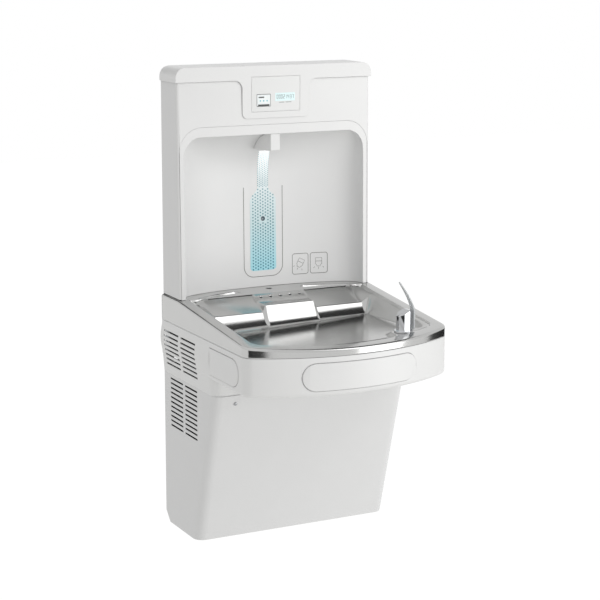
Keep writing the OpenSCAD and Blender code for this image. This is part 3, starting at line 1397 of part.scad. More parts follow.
// Thermostat clipped to the frame beside the tank
thermo_x = -90;
thermo_drop = 70;
thermo_z = seam_z - thermo_drop;
thermo_w = 40;
thermo_h = 52;
thermo_t = 28;
thermo_dial_r = 7;
thermo_dial_h = 8;
module thermostat() color("gray") {
    facing(frame_t + gap, frame_t + gap + thermo_t) translate([thermo_x, thermo_z])
        square([thermo_w, thermo_h], center = true);
    facing(frame_t + gap + thermo_t - over, frame_t + gap + thermo_t + thermo_dial_h)
        translate([thermo_x, thermo_z + thermo_dial_r]) circle(r = thermo_dial_r, $fn = small);
}

back_frame();
base_pan();
lower_cover();
cover_screws();
upper_shroud();
basin();
drain_strainer();
drain_body();
waste_pipe();
bubbler_body();
bubbler_guard();
bubbler_nut();
push_bar();
bar_bracket();
bar_springs();
bar_switch();
bar_plunger();
left_pad();
left_pad_bracket();
left_pad_spring();
left_switch();
left_plunger();
right_pad();
right_pad_bracket();
right_pad_spring();
right_switch();
right_plunger();
tower_gasket();
tower_chassis();
tower_front();
tower_cap();
alcove_liner();
nozzle_hood();
laminar_nozzle();
nozzle_light();
sensor_eye();
display_lens();
display_module();
control_board();
filler_valve();
riser_tube();
compressor();
compressor_feet();
condenser();
fan_shroud();
fan_motor();
fan_blades();
chiller_tank();
evaporator_coil();
tank_insulation();
tank_shelf();
filter_head();
filter_cartridge();
inlet_coupler();
supply_tube();
bubbler_valve();
bubbler_tube();
junction_box();
cable_gland();
thermostat();
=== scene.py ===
# %% [markdown]
# # Bottle filling station over a drinking basin
# A wall-hung cooler: a tower with a lit filling alcove, a stainless basin with a bubbler,
# a vented moulded shroud with push controls, and a painted steel cabinet below.
# The measured solids arrive as the frame. This lesson gives them finishes, and makes again,
# finer, the pieces whose looks need it.

# %% Start from the measured frame
import json
import math

import bmesh
import bpy
from mathutils import Matrix, Vector

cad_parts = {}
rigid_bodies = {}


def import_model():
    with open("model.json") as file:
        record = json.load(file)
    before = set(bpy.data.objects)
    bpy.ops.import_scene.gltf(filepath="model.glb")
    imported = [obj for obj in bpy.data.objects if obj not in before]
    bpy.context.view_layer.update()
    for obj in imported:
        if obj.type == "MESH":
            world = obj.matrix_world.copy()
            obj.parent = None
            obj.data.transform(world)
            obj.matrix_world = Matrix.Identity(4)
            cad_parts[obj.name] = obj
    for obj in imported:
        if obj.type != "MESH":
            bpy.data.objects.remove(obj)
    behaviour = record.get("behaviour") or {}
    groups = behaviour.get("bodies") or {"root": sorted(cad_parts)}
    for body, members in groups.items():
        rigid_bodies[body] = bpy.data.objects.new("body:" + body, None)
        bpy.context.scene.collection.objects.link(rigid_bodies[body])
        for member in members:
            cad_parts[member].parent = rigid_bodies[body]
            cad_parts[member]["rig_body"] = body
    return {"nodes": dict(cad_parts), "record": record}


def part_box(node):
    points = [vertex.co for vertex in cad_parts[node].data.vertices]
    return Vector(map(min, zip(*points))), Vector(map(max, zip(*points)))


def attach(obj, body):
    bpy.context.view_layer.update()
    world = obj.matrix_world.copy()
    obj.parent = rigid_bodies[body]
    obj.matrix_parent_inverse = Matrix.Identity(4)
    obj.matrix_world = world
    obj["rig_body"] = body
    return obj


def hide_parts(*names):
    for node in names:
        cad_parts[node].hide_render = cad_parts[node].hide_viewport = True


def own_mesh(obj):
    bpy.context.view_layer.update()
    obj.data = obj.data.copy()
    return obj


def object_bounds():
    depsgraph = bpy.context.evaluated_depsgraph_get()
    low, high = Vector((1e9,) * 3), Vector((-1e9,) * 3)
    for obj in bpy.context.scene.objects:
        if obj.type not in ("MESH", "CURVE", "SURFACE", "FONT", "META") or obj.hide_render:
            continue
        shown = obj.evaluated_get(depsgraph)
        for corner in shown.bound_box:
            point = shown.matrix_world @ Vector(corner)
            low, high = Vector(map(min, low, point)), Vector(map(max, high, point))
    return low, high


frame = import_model()
nodes = frame["nodes"]
cad_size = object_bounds()
MM = 0.001
print("nodes", len(nodes), "box", [round(v, 4) for corner in cad_size for v in corner])

# %% [markdown]
# ## Camera
# A long lens looks from the front left, a little above the basin, over an angle of about 19
# degrees. From so far away the upright edges stay nearly parallel. The camera is set by its own
# directions, right and forward, and its third direction is square to both.

# %% Place the camera
right = Vector((0.88876, -0.45837, 0.00270))
forward = Vector((0.44951, 0.87040, -0.20085))
lens = bpy.data.cameras.new("photo_camera")
lens.sensor_width = 36
lens.lens = 105.556
camera = bpy.data.objects.new("photo_camera", lens)
bpy.context.scene.collection.objects.link(camera)
turn = Matrix((right, right.cross(forward), -forward)).transposed()
camera.matrix_world = Matrix.Translation((-1.67912, -3.45161, 1.05247)) @ turn.to_4x4()
bpy.context.scene.camera = camera
bpy.context.scene.view_settings.view_transform = "Standard"
print("lens", lens.lens)

# %% [markdown]
# ## One helper for shader nodes
# A material is a small graph. One function adds a node, sets its fields and fills its inputs:
# an input is either a number or another node's output. Colours are written as hex values and
# turned to the linear numbers that the renderer works in.

# %% Colour and node helpers
def linear(hex_colour, alpha=1.0):
    """A hex colour as linear numbers."""
    shares = [int(hex_colour[i:i + 2], 16) / 255 for i in (1, 3, 5)]
    return [s / 12.92 if s <= 0.04045 else ((s + 0.055) / 1.055) ** 2.4 for s in shares] + [alpha]


def add(graph, kind, inputs=None, **fields):
    """Adds a node. An input is a number, a colour or another node's output."""
    made = graph.nodes.new(kind)
    for name, value in fields.items():
        setattr(made, name, value)
    for name, value in (inputs or {}).items():
        if isinstance(value, bpy.types.NodeSocket):
            graph.links.new(value, made.inputs[name])
        else:
            made.inputs[name].default_value = value
    return made


# %% [markdown]
# ## Studio
# A catalogue studio is a white room. The world is plain white for the camera, also through
# clear plastic, and a softer grey for the light it throws. What metal mirrors lies between.

# %% World light
WORLD_LIGHT = 0.72
WHITE_IN_MIRRORS = 0.6
world = bpy.data.worlds.new("white_studio")
bpy.context.scene.world = world
world.use_nodes = True
sky = world.node_tree
sky.nodes.clear()
path = add(sky, "ShaderNodeLightPath")
seen = add(sky, "ShaderNodeMath", {0: path.outputs["Is Camera Ray"],
                                   1: path.outputs["Is Transmission Ray"]}, operation="MAXIMUM")
seen = add(sky, "ShaderNodeMath", {0: path.outputs["Is Glossy Ray"], 1: WHITE_IN_MIRRORS,
                                   2: seen.outputs[0]}, operation="MULTIPLY_ADD", use_clamp=True)
glow = add(sky, "ShaderNodeBackground", {"Color": linear("#FFFFFF"), "Strength": WORLD_LIGHT})
white = add(sky, "ShaderNodeBackground", {"Color": linear("#FFFFFF"), "Strength": 1.0})
both = add(sky, "ShaderNodeMixShader", {0: seen.outputs[0], 1: glow.outputs[0],
                                        2: white.outputs[0]})
add(sky, "ShaderNodeOutputWorld", {"Surface": both.outputs[0]})
print("world light", WORLD_LIGHT)

# %% [markdown]
# The cooler hangs on a wall, so the floor lies well below its foot. Its paint answers the
# camera and mirrors with nearly plain white. The rest of it is matt and takes a soft shadow.

# %% Floor
FLOOR_BELOW = 0.75
FLOOR_HALF = 12
FLOOR_GLOW = 1.06
GLOW_IN_MIRRORS, GLOW_AT_MOST = 0.8, 0.92
FLOOR_Z = cad_size[0][2] - FLOOR_BELOW
paint = bpy.data.materials.new("pale_floor_paint")
paint.use_nodes = True
graph = paint.node_tree
graph.nodes.clear()
path = add(graph, "ShaderNodeLightPath")
matt = add(graph, "ShaderNodeBsdfDiffuse", {"Color": linear("#F2F2F0")})
bright = add(graph, "ShaderNodeEmission", {"Color": linear("#FFFFFF"), "Strength": FLOOR_GLOW})
share = add(graph, "ShaderNodeMath", {0: path.outputs["Is Glossy Ray"], 1: GLOW_IN_MIRRORS,
                                      2: path.outputs["Is Camera Ray"]}, operation="MULTIPLY_ADD")
share = add(graph, "ShaderNodeMath", {0: share.outputs[0], 1: GLOW_AT_MOST}, operation="MINIMUM")
both = add(graph, "ShaderNodeMixShader", {0: share.outputs[0], 1: matt.outputs[0],
                                          2: bright.outputs[0]})
add(graph, "ShaderNodeOutputMaterial", {"Surface": both.outputs[0]})
shape = bmesh.new()
bmesh.ops.create_grid(shape, x_segments=1, y_segments=1, size=FLOOR_HALF,
                      matrix=Matrix.Translation((0, 0, FLOOR_Z)))
mesh = bpy.data.meshes.new("floor")
shape.to_mesh(mesh)
shape.free()
floor = bpy.data.objects.new("floor", mesh)
floor.data.materials.append(paint)
bpy.context.scene.collection.objects.link(floor)
print("floor at", round(FLOOR_Z, 3))

# %% [markdown]
# ## Lamps
# Two large soft lamps stand in front and to the right: the low one lights the fronts and
# leaves the left side a little darker, and the high one lights the bowl. Bright steel shows the
# room, so four dark cards give its bends their dark lines. The camera doesn't see the cards.

# %% Lamps and cards
SUBJECT = (0, -0.2, 0.3)


def aim(thing, place, target):
    """Stands a lamp or a card at a place and turns its face to the target."""
    way = (Vector(target) - Vector(place)).to_track_quat("-Z", "Y")
    thing.matrix_world = Matrix.Translation(place) @ way.to_matrix().to_4x4()
    bpy.context.scene.collection.objects.link(thing)


for name, place, wide, watts in (("key_lamp", (2.0, -2.8, 0.2), 1.5, 26),
                                 ("bowl_lamp", (1.05, -1.65, 1.75), 1.4, 9)):
    light = bpy.data.lights.new(name, "AREA")
    light.size = wide
    light.energy = watts
    aim(bpy.data.objects.new(name, light), place, SUBJECT)

black = bpy.data.materials.new("matt_black_card")
black.use_nodes = True
black.node_tree.nodes["Principled BSDF"].inputs["Base Color"].default_value = linear("#1A1A1A")
for name, place, wide, high in (("card_above", (0.9, -0.05, 1.95), 1.7, 1.15),
                                ("card_left", (-1.15, -1.2, -0.02), 1.1, 0.45),
                                ("card_right", (1.47, -0.25, -0.02), 1.0, 0.45),
                                ("card_behind", (-0.5, 1.9, 1.4), 1.2, 0.8)):
    shape = bmesh.new()
    bmesh.ops.create_grid(shape, x_segments=1, y_segments=1, size=0.5)
    bmesh.ops.scale(shape, vec=(wide, high, 1), verts=shape.verts)
    mesh = bpy.data.meshes.new(name)
    shape.to_mesh(mesh)
    shape.free()
    card = bpy.data.objects.new(name, mesh)
    card.data.materials.append(black)
    aim(card, place, SUBJECT)
    card.visible_camera = False
    card.visible_diffuse = False
    card.visible_shadow = False
print("lamps", len(bpy.data.lights))

# %% [markdown]
# ## Finishes
# Most finishes are one base colour that wanders a little, and a fine relief: the orange peel
# of powder paint, the grain of a mould, or the lines of a brushing belt. A single function
# builds that graph from real values: the colour, the roughness, the grain in millimetres and
# how far the grain is drawn out along one axis.

# %% The finish function
RELIEF_DEPTH = 0.05 * MM
GLOSS_SPREAD = 0.1


def finish(name, colour, other, rough, grain=1.0, relief=0.1, draw=(1, 1, 1), wander=60.0,
           metal=0.0):
    """A finish whose colour wanders between two values over wander mm, with a grain in mm."""
    made = bpy.data.materials.new(name)
    made.use_nodes = True
    graph = made.node_tree
    shader = graph.nodes["Principled BSDF"]
    shader.inputs["Metallic"].default_value = metal
    place = add(graph, "ShaderNodeTexCoord")
    drawn = add(graph, "ShaderNodeMapping", {"Vector": place.outputs["Object"], "Scale": draw})
    cloud = add(graph, "ShaderNodeTexNoise", {"Vector": drawn.outputs[0],
                                              "Scale": 1 / (wander * MM), "Detail": 3.0})
    tint = add(graph, "ShaderNodeMix", {0: cloud.outputs["Fac"], 6: linear(colour),
                                        7: linear(other)}, data_type="RGBA")
    graph.links.new(tint.outputs[2], shader.inputs["Base Color"])
    peel = add(graph, "ShaderNodeTexNoise", {"Vector": drawn.outputs[0], "Scale": 1 / (grain * MM),
                                             "Detail": 2.0})
    bump = add(graph, "ShaderNodeBump", {"Strength": relief, "Distance": RELIEF_DEPTH,
                                         "Height": peel.outputs["Fac"]})
    graph.links.new(bump.outputs[0], shader.inputs["Normal"])
    gloss = add(graph, "ShaderNodeMapRange", {"Value": peel.outputs["Fac"],
                                              "To Min": rough * (1 - GLOSS_SPREAD),
                                              "To Max": min(1.0, rough * (1 + GLOSS_SPREAD))})
    graph.links.new(gloss.outputs[0], shader.inputs["Roughness"])
    return made


# %% [markdown]
# Pale grey is everywhere on this cooler, in two makes. Powder-coated steel has a fine orange
# peel and a low gloss. Moulded ABS is smoother and a shade lighter.

# %% Paint and plastics
finishes = {
    "painted": finish("powder_coated_steel", "#DDDDDD", "#E0E0E0", 0.42, grain=1.2, relief=0.2),
    "shell": finish("moulded_abs", "#E2E2E2", "#E5E5E4", 0.36, grain=0.7, relief=0.08),
    "white_plastic": finish("white_pvc", "#E4E3DE", "#DEDDD8", 0.4),
    "black_plastic": finish("black_nylon", "#1C1C1D", "#232324", 0.5, relief=0.2),
    "red_plastic": finish("red_acetal", "#9A1F1C", "#A32421", 0.35),
    "valve": finish("glass_filled_nylon", "#2B3038", "#343A43", 0.55, grain=0.5, relief=0.4),
    "tube": finish("clear_polyethylene_tube", "#D2D8DB", "#C9D0D4", 0.3),
    "board": finish("solder_mask_on_glass_board", "#14502C", "#195B34", 0.35, grain=0.4),
    "black_rubber": finish("black_neoprene", "#1E1E1E", "#262626", 0.75, relief=0.3),
    "grey_rubber": finish("grey_rubber", "#4A4A49", "#535352", 0.8, relief=0.3),
    "foam": finish("polyurethane_foam", "#C9B98C", "#BCAA7A", 0.9, grain=2.5, relief=1.0),
    "black_paint": finish("black_stove_enamel", "#161617", "#1D1D1E", 0.25, relief=0.15),
}
print("finishes", len(finishes))

# %% [markdown]
# Metals take their look from what they reflect. Their base colour is pale and the roughness
# says how it was worked: a belt leaves long fine lines in stainless steel, plating is a mirror,
# and zinc on sheet steel is dull with soft spangles.

# %% Metals
finishes.update({
    "stainless": finish("belt_brushed_stainless_steel", "#C6C6C5", "#C0C0BF", 0.16, grain=0.5,
                        relief=0.02, draw=(0.06, 1, 1), wander=30, metal=1.0),
    "chromed": finish("chromed_brass", "#D8D9DB", "#D4D5D8", 0.07, relief=0.02, metal=1.0),
    "brassy": finish("turned_brass", "#C9A65A", "#BD9A50", 0.28, metal=1.0),
    "galvanised": finish("zinc_coated_sheet", "#B4B7B9", "#A3A6A9", 0.45, wander=12, metal=1.0),
    "spring": finish("drawn_spring_steel", "#A9AAAC", "#9FA0A2", 0.3, metal=1.0),
    "fins": finish("rolled_aluminium", "#C6C7C9", "#BCBDBF", 0.4, metal=1.0),
    "copper": finish("drawn_copper", "#C98A62", "#B97A54", 0.3, metal=1.0),
})
print("finishes", len(finishes))

# %% [markdown]
# Glass-clear acrylic and the smoked display window let light through or hide it, so they set
# the shader's own sockets after the shared graph is made.

# %% Clear and lit parts
finishes["clear_plastic"] = finish("clear_acrylic", "#E6E8E9", "#DDE0E2", 0.15, relief=0.02)
clear = finishes["clear_plastic"].node_tree.nodes["Principled BSDF"]
clear.inputs["Transmission Weight"].default_value = 0.3
clear.inputs["IOR"].default_value = 1.49
finishes["lens"] = finish("smoked_acrylic", "#3A4A54", "#40515C", 0.12, relief=0.02)
finishes["glow"] = finish("lamp_diffuser", "#F4FAFF", "#EAF6FF", 0.3)
lit = finishes["glow"].node_tree.nodes["Principled BSDF"]
lit.inputs["Emission Color"].default_value = linear("#DDF6FF")
lit.inputs["Emission Strength"].default_value = 1.5
print("finishes", len(finishes))

# %% [markdown]
# The record names a material slot for every node, and each slot has its finish above. So one
# loop paints the whole frame, inner pieces too.

# %% Paint every node of the frame
for part in frame["record"]["subparts"]:
    paints = nodes[part["node"]].data.materials
    paints.clear()
    paints.append(finishes[part["material_slot"]])

# %% [markdown]
# ## Ending a piece
# New pieces are drawn in millimetres near their real place. The last steps are the same for
# each: close the doubles, turn to metres, shade smooth but keep folds sharp, and hand the
# piece to the frame, which moves it with the right body.

# %% Helpers for new pieces
SAME_POINT = 0.002


def settle(name, shape, finish_names, stands_for=(), body="station", fold=35, wall=0.0):
    """Makes a drawn shape a piece of the object. A wall in mm gives a sheet its thickness."""
    bmesh.ops.remove_doubles(shape, verts=shape.verts, dist=SAME_POINT)
    bmesh.ops.scale(shape, vec=(MM, MM, MM), verts=shape.verts)
    mesh = bpy.data.meshes.new(name)
    shape.to_mesh(mesh)
    shape.free()
    mesh.shade_smooth()
    mesh.set_sharp_from_angle(angle=math.radians(fold))
    piece = bpy.data.objects.new(name, mesh)
    bpy.context.scene.collection.objects.link(piece)
    for finish_name in finish_names:
        mesh.materials.append(finishes[finish_name])
    if wall:
        sheet = piece.modifiers.new("wall", "SOLIDIFY")
        sheet.thickness = wall * MM
        sheet.offset = -1
    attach(piece, body)
    if stands_for:
        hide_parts(*stands_for)
    print(name, len(mesh.polygons), "faces")
    return piece


def edges(node):
    """Lowest and highest corner of a node in millimetres."""
    low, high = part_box(node)
    return low / MM, high / MM


def mix(a, b, share):
    """The value that lies a share of the way from a to b."""
    return a + (b - a) * share


def smooth(share):
    """A share that leaves 0 and reaches 1 without a kink."""
    share = min(1.0, max(0.0, share))
    return share * share * (3 - 2 * share)


def steps(start, end, size):
    """Evenly spaced values from start up to, but without, the end."""
    count = max(1, round(abs(end - start) / size))
    return [mix(start, end, i / count) for i in range(count)]


# %% [markdown]
# ## Basin
# The real basin is pressed from one stainless sheet: a flat deck under the tower, two curved
# beads, a ledge with a raised middle, a bowl that falls to the drain on the left, and a rim
# that folds down into the skirt. A pressed sheet is best drawn as one grid whose points are
# lifted to a height formula, because then every bend runs into the next without a seam.

# %% Outline of the basin
BASIN_LOW, BASIN_HIGH = edges("basin")
DECK = BASIN_HIGH.z
SKIRT_HIGH = 56
SKIRT = DECK - SKIRT_HIGH
RIM = 26
INSIDE = BASIN_HIGH.x - RIM
BOW = 440
BOW_IN = BOW - RIM
BOW_Y = BOW + BASIN_LOW.y
CORNER = 30


def corner_of(out):
    """Centre of the front corner of the outline that lies out mm outside the recess."""
    cx = INSIDE + out - CORNER
    span = math.sqrt((BOW_IN + out - CORNER) ** 2 - cx ** 2)
    return cx, BOW_Y - span, math.atan2(span, cx)


def rim_point(way, out):
    """Point of that outline whose outward direction leans forwards by the angle way."""
    cx, cy, meet = corner_of(out)
    if way < meet:
        return cx + CORNER * math.cos(way), cy - CORNER * math.sin(way)
    return (BOW_IN + out) * math.cos(way), BOW_Y - (BOW_IN + out) * math.sin(way)


def front_y(x):
    """Where the recess ends in front, for a width."""
    cx, cy, meet = corner_of(0)
    if abs(x) < BOW_IN * math.cos(meet):
        return BOW_Y - math.sqrt(BOW_IN ** 2 - x * x)
    return cy - math.sqrt(max(0.0, CORNER ** 2 - (abs(x) - cx) ** 2))


print("recess half width", round(INSIDE, 1), "front", round(front_y(0), 1))

# %% [markdown]
# The height formula reads like the real pressing: deck, ledge, drop, floor, the dome under
# the bubbler and the sump round the drain. Five small pits in the ledge and a round hole in the
# deck are cut open afterwards. All sizes are in millimetres, a distance from the wall counts
# forwards, and a pair of values is for the left and the right end.

# %% Sizes of the pressing
BUBBLER = Vector((130, -413))
DRAIN = Vector((-165, -205))
# the round hole in the deck, and the five pits, which are open below the depth PIT_OPEN
OVERFLOW, OVERFLOW_R = Vector((0, -51)), 6.8
PITS = [(Vector((x, -107)), 2.1) for x in (-46.6, -23.3, 0, 23.3, 46.6)]
PIT_DEEP, PIT_LIP, PIT_SLOPE, PIT_OPEN = 3.0, 1.4, 1.6, 2.2
# the rim, and the small step inside it
RIM_BREAK, RIM_FALL = 87, math.radians(5.9)
LIP_DEEP, LIP_WIDE, LIP_DROP = 1, 3, 2.2
# the ledge, its raised middle, and the drop from its front edge to the floor
LEDGE, LEDGE_RUN = 97, 55
DROP = LEDGE + LEDGE_RUN
DROP_LENGTH = (40, 28)
SIDE_DEEP, MIDDLE_DEEP, MIDDLE_HALF, MIDDLE_SLOPE = 28, 13.5, 57, 8
# the bowl: its floor, its wall along the rim, the dome, the sump and the strainer's seat
FLOOR_FROM, FLOOR_BACK, FLOOR_FRONT = 174, (SKIRT - 6, SKIRT + 7), SKIRT + 11
BOWL_WALL = 34
DOME_TOP, DOME_R, DOME_SLOPE = SKIRT + 17.5, 23, 14
SUMP_R, SUMP_SLOPE = 23, 15
SEAT_R, SEAT_DEEP, SEAT_SLOPE = 18.5, 5, 1.5
# the beads: centre, radius and end angles of their bow, then their cross-section
BEAD_X, BEAD_Y, BEAD_R, BEAD_FROM, BEAD_TO = 60, -294, 235, 61, 84
BEAD_DEEP, BEAD_HALF, BEAD_SLOPE, BEAD_FADE = 5.5, 9.4, 2.4, 7
print("ledge from", LEDGE, "to", DROP, "mm, bowl", round(DECK - FLOOR_FRONT, 1), "mm deep in front")


# %% Height of the pressed sheet
def across(x):
    """Share of the recess's width, from 0 on the left to 1 on the right."""
    return (x + INSIDE) / (2 * INSIDE)


def rim_height(y):
    """The rim is level at the back and falls towards the front."""
    return DECK - max(0.0, -y - RIM_BREAK) * math.tan(RIM_FALL)


def floor_height(x, y):
    """The bowl's floor falls to the back and to the left, where the drain is."""
    back = mix(*FLOOR_BACK, across(x))
    run = (-y - FLOOR_FROM) / (-BASIN_LOW.y - RIM - FLOOR_FROM)
    return mix(back, FLOOR_FRONT, min(1, max(0, run)))


def bead(x, y):
    """Depth of the curved bead pressed into each side of the deck."""
    turn = math.degrees(math.atan2(y - BEAD_Y, abs(x) - BEAD_X))
    turn = math.radians(min(BEAD_TO, max(BEAD_FROM, turn)))
    off = math.hypot(abs(x) - BEAD_X - BEAD_R * math.cos(turn),
                     y - BEAD_Y - BEAD_R * math.sin(turn))
    return BEAD_DEEP * min(1.0, max(0.0, (BEAD_HALF - off) / BEAD_SLOPE))


def inside(x, y):
    """Distance from the recess's edge."""
    cx, cy, meet = corner_of(0)
    to_bow = BOW_IN - math.hypot(x, y - BOW_Y)
    if abs(x) > cx and y < cy:
        return min(to_bow, CORNER - math.hypot(abs(x) - cx, y - cy))
    return min(INSIDE - abs(x), to_bow)


def pan_height(x, y):
    """Height of the sheet inside the rim, before the pits."""
    if y > -LEDGE:
        return DECK - bead(x, y)
    run = min(1, (-y - LEDGE) / LEDGE_RUN)
    side = mix(DECK - LIP_DEEP, DECK - SIDE_DEEP, run * (2 - run) * 0.5 + run * 0.5)
    middle = mix(DECK - LIP_DEEP, DECK - MIDDLE_DEEP, smooth(run * 2))
    deep = mix(middle, side, smooth((abs(x) - MIDDLE_HALF) / MIDDLE_SLOPE))
    if y < -DROP:
        to_go = max(0.0, 1 - (-y - DROP) / mix(*DROP_LENGTH, across(x)))
        deep = mix(deep, floor_height(x, y), 1 - to_go ** 2)
    edge = inside(x, y)
    lip = rim_height(y) - LIP_DEEP - LIP_DROP * smooth(edge / LIP_WIDE)
    height = mix(lip, deep, smooth(edge / BOWL_WALL))
    dome = (Vector((x, y)) - BUBBLER).length
    height = mix(height, DOME_TOP, 1 - smooth((dome - DOME_R) / DOME_SLOPE))
    sump = (Vector((x, y)) - DRAIN).length
    height = mix(height, floor_height(*DRAIN), 1 - smooth((sump - SUMP_R) / SUMP_SLOPE))
    height -= bead(x, y) * smooth((y + (LEDGE + BEAD_FADE)) / BEAD_FADE)
    return height - SEAT_DEEP * smooth((SEAT_R - sump) / SEAT_SLOPE)


def pits(x, y):
    """Depth of the small drain holes."""
    here = Vector((x, y))
    return sum(PIT_DEEP * smooth((r + PIT_LIP - (here - place).length) / PIT_SLOPE)
               for place, r in PITS)


print("heights over the skirt: ledge's front", round(pan_height(0, -DROP) - SKIRT, 1),
      "drain", round(pan_height(*DRAIN) - SKIRT, 1))


# %% [markdown]
# The columns of the grid stand close together where the raised middle steps down and in the
# corners. The rows are close at the deck's hole, the drain holes and the ledge's front edge.
# From there on they follow the bowed front edge by shares, and close up again at the rim.
# A band of rows is its start, its end and its spacing.

# %% Lift the grid
BOWL_FROM = -194
ROWS = ((-0.3, -44, 4), (-44, -58, 0.9), (-58, -103, 1.1), (-103, -111, 0.9),
        (-111, -147, 2.6), (-147, -158, 0.8), (-158, BOWL_FROM, 1.4))
MIDDLE_FOOT = 66
BEND_FRONT, BEND_BACK = -156.5, -148.5
shape = bmesh.new()
meet = corner_of(0)[2]
half = (steps(0, MIDDLE_HALF, 1.5) + steps(MIDDLE_HALF, MIDDLE_FOOT, 1)
        + steps(MIDDLE_FOOT, BOW_IN * math.cos(meet), 3.2)
        + [INSIDE - CORNER + CORNER * math.cos(mix(meet, 0, i / 12)) for i in range(13)])
columns = [-x for x in reversed(half[1:])] + half
rows = [y for start, end, size in ROWS for y in steps(start, end, size)]
shares = steps(0, 0.86, 0.017) + steps(0.86, 1.0, 0.0065) + [1.0]
bmesh.ops.create_grid(shape, x_segments=len(columns) - 1, y_segments=len(rows) + len(shares) - 1,
                      size=1)
for point in shape.verts:
    column = round((point.co.x + 1) / 2 * (len(columns) - 1))
    row = round((1 - point.co.y) / 2 * (len(rows) + len(shares) - 1))
    x = columns[column]
    y = rows[row] if row < len(rows) else mix(BOWL_FROM, front_y(x), shares[row - len(rows)])
    point.co = (x, y, pan_height(x, y) - pits(x, y))
bend = [v for v in shape.verts
        if BEND_FRONT < v.co.y < BEND_BACK and inside(v.co.x, v.co.y) > LIP_WIDE]
for turns in range(2):
    bmesh.ops.smooth_vert(shape, verts=bend, factor=0.5, use_axis_z=True)
holes = [f for f in shape.faces if pits(*f.calc_center_median().xy) > PIT_OPEN
         or (f.calc_center_median().xy - OVERFLOW).length < OVERFLOW_R]
bmesh.ops.delete(shape, geom=holes, context="FACES")
print("columns", len(columns), "rows", len(rows) + len(shares))

# %% [markdown]
# The rim grows out of the recess's edge. The open edge gets row after row of faces, and each
# new row is set further out and down: a rolled lip, the flat rim, the fold and the skirt. A row
# is a distance outwards and a rise, over the falling rim or over the skirt's level foot. The
# ring holds the side of each edge point, the way outwards, which is none along the straight
# sides, and its share of the straight side's length.

# %% Grow the rim and the skirt
AT_EDGE = 0.01
FOLD_R = 5
FOLD_STEP = 18
ring = {}
for point in shape.verts:
    if not point.is_boundary or inside(point.co.x, point.co.y) > AT_EDGE:
        continue
    x, y = abs(point.co.x), point.co.y
    cx, cy, meet = corner_of(0)
    if y > cy:
        way = None
    elif math.atan2(cy - y, x - cx) < meet:
        way = math.atan2(cy - y, x - cx)
    else:
        way = math.atan2(BOW_Y - y, x)
    ring[point] = (1 if point.co.x > 0 else -1, way, y / cy)
fold = [(RIM - FOLD_R + FOLD_R * math.sin(a), -FOLD_R * (1 - math.cos(a)))
        for a in [math.radians(FOLD_STEP * i) for i in range(6)]]
rim_rows = [(0.5, -0.45), (1.3, -0.1), (2.4, 0.0)] + fold + [(RIM, -6.4)]
skirt_rows = [(RIM, 2.6), (RIM, 1.2), (25.6, 0.35), (24.6, 0.0)]
for i, (out, rise) in enumerate(rim_rows + skirt_rows):
    chain = [e.link_loops[0] for e in shape.edges
             if e.is_boundary and e.verts[0] in ring and e.verts[1] in ring]
    grown = {}
    for point, (side, way, along) in ring.items():
        if way is None:
            x, y = INSIDE + out, along * corner_of(out)[1]
        else:
            x, y = rim_point(way, out)
        z = (rim_height(y) if i < len(rim_rows) else SKIRT) + rise
        grown[point] = shape.verts.new((side * x, y, z))
    for corner in chain:
        start, end = corner.vert, corner.link_loop_next.vert
        shape.faces.new((end, start, grown[start], grown[end]))
    ring = {grown[point]: place for point, place in ring.items()}
settle("pressed_basin", shape, ["stainless"], ["basin"], wall=1.2, fold=50)

# %% [markdown]
# ## Shells with softened folds
# A solid from the frame has knife edges. Real folds and moulded corners are rounded, and that
# thin round catches the light. Each shell is copied, its triangles are joined to whole flats,
# and every fold gets a small round of the size that its process leaves.

# %% Shape of a node, and soft folds
SAME_CAD_POINT = 0.004


def from_node(node, flat=0.8):
    """A node's solid as a drawn shape in mm, with its flats made whole below an angle."""
    drawn = bmesh.new()
    drawn.from_mesh(nodes[node].data)
    bmesh.ops.scale(drawn, vec=(1 / MM, 1 / MM, 1 / MM), verts=drawn.verts)
    bmesh.ops.remove_doubles(drawn, verts=drawn.verts, dist=SAME_CAD_POINT)
    if flat:
        bmesh.ops.dissolve_limit(drawn, angle_limit=math.radians(flat), verts=drawn.verts,
                                 edges=drawn.edges)
    return drawn


def rounded(piece, size, layers=3, fold=32):
    """Rounds the folds of a piece by a size in mm."""
    soft = piece.modifiers.new("rounded_folds", "BEVEL")
    soft.width = size * MM
    soft.segments = layers
    soft.limit_method = "ANGLE"
    soft.angle_limit = math.radians(fold)
    soft.harden_normals = True
    soft.use_clamp_overlap = False


# %% [markdown]
# The table gives a node, the name of its softened copy, its finish and the round in millimetres.
# Folded steel has tight rounds, and moulded plastic and castings have wider ones.

# %% Round the folds of the shells
SHELLS = (("lower_cover", "cabinet_wrap", "painted", 0.35),
          ("tower_chassis", "tower_wrap", "painted", 0.4),
          ("upper_shroud", "moulded_shroud", "shell", 0.5),
          ("tower_front", "tower_face", "shell", 0.5),
          ("tower_cap", "top_band", "shell", 0.9),
          ("alcove_liner", "alcove_hollow", "shell", 0.4),
          ("nozzle_hood", "hood", "shell", 1.2),
          ("push_bar", "front_push_bar", "shell", 1.0),
          ("left_pad", "left_push_pad", "shell", 0.8),
          ("right_pad", "right_push_pad", "shell", 0.8),
          ("bubbler_body", "bubbler_casting", "chromed", 0.6),
          ("laminar_nozzle", "filler_nozzle", "chromed", 0.4),
          ("drain_strainer", "strainer_plate", "stainless", 0.2))
for node, name, finish_name, size in SHELLS:
    rounded(settle(name, from_node(node), [finish_name], [node], body=nodes[node]["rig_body"],
                   fold=32), size)
print("softened", len(SHELLS), "pieces")
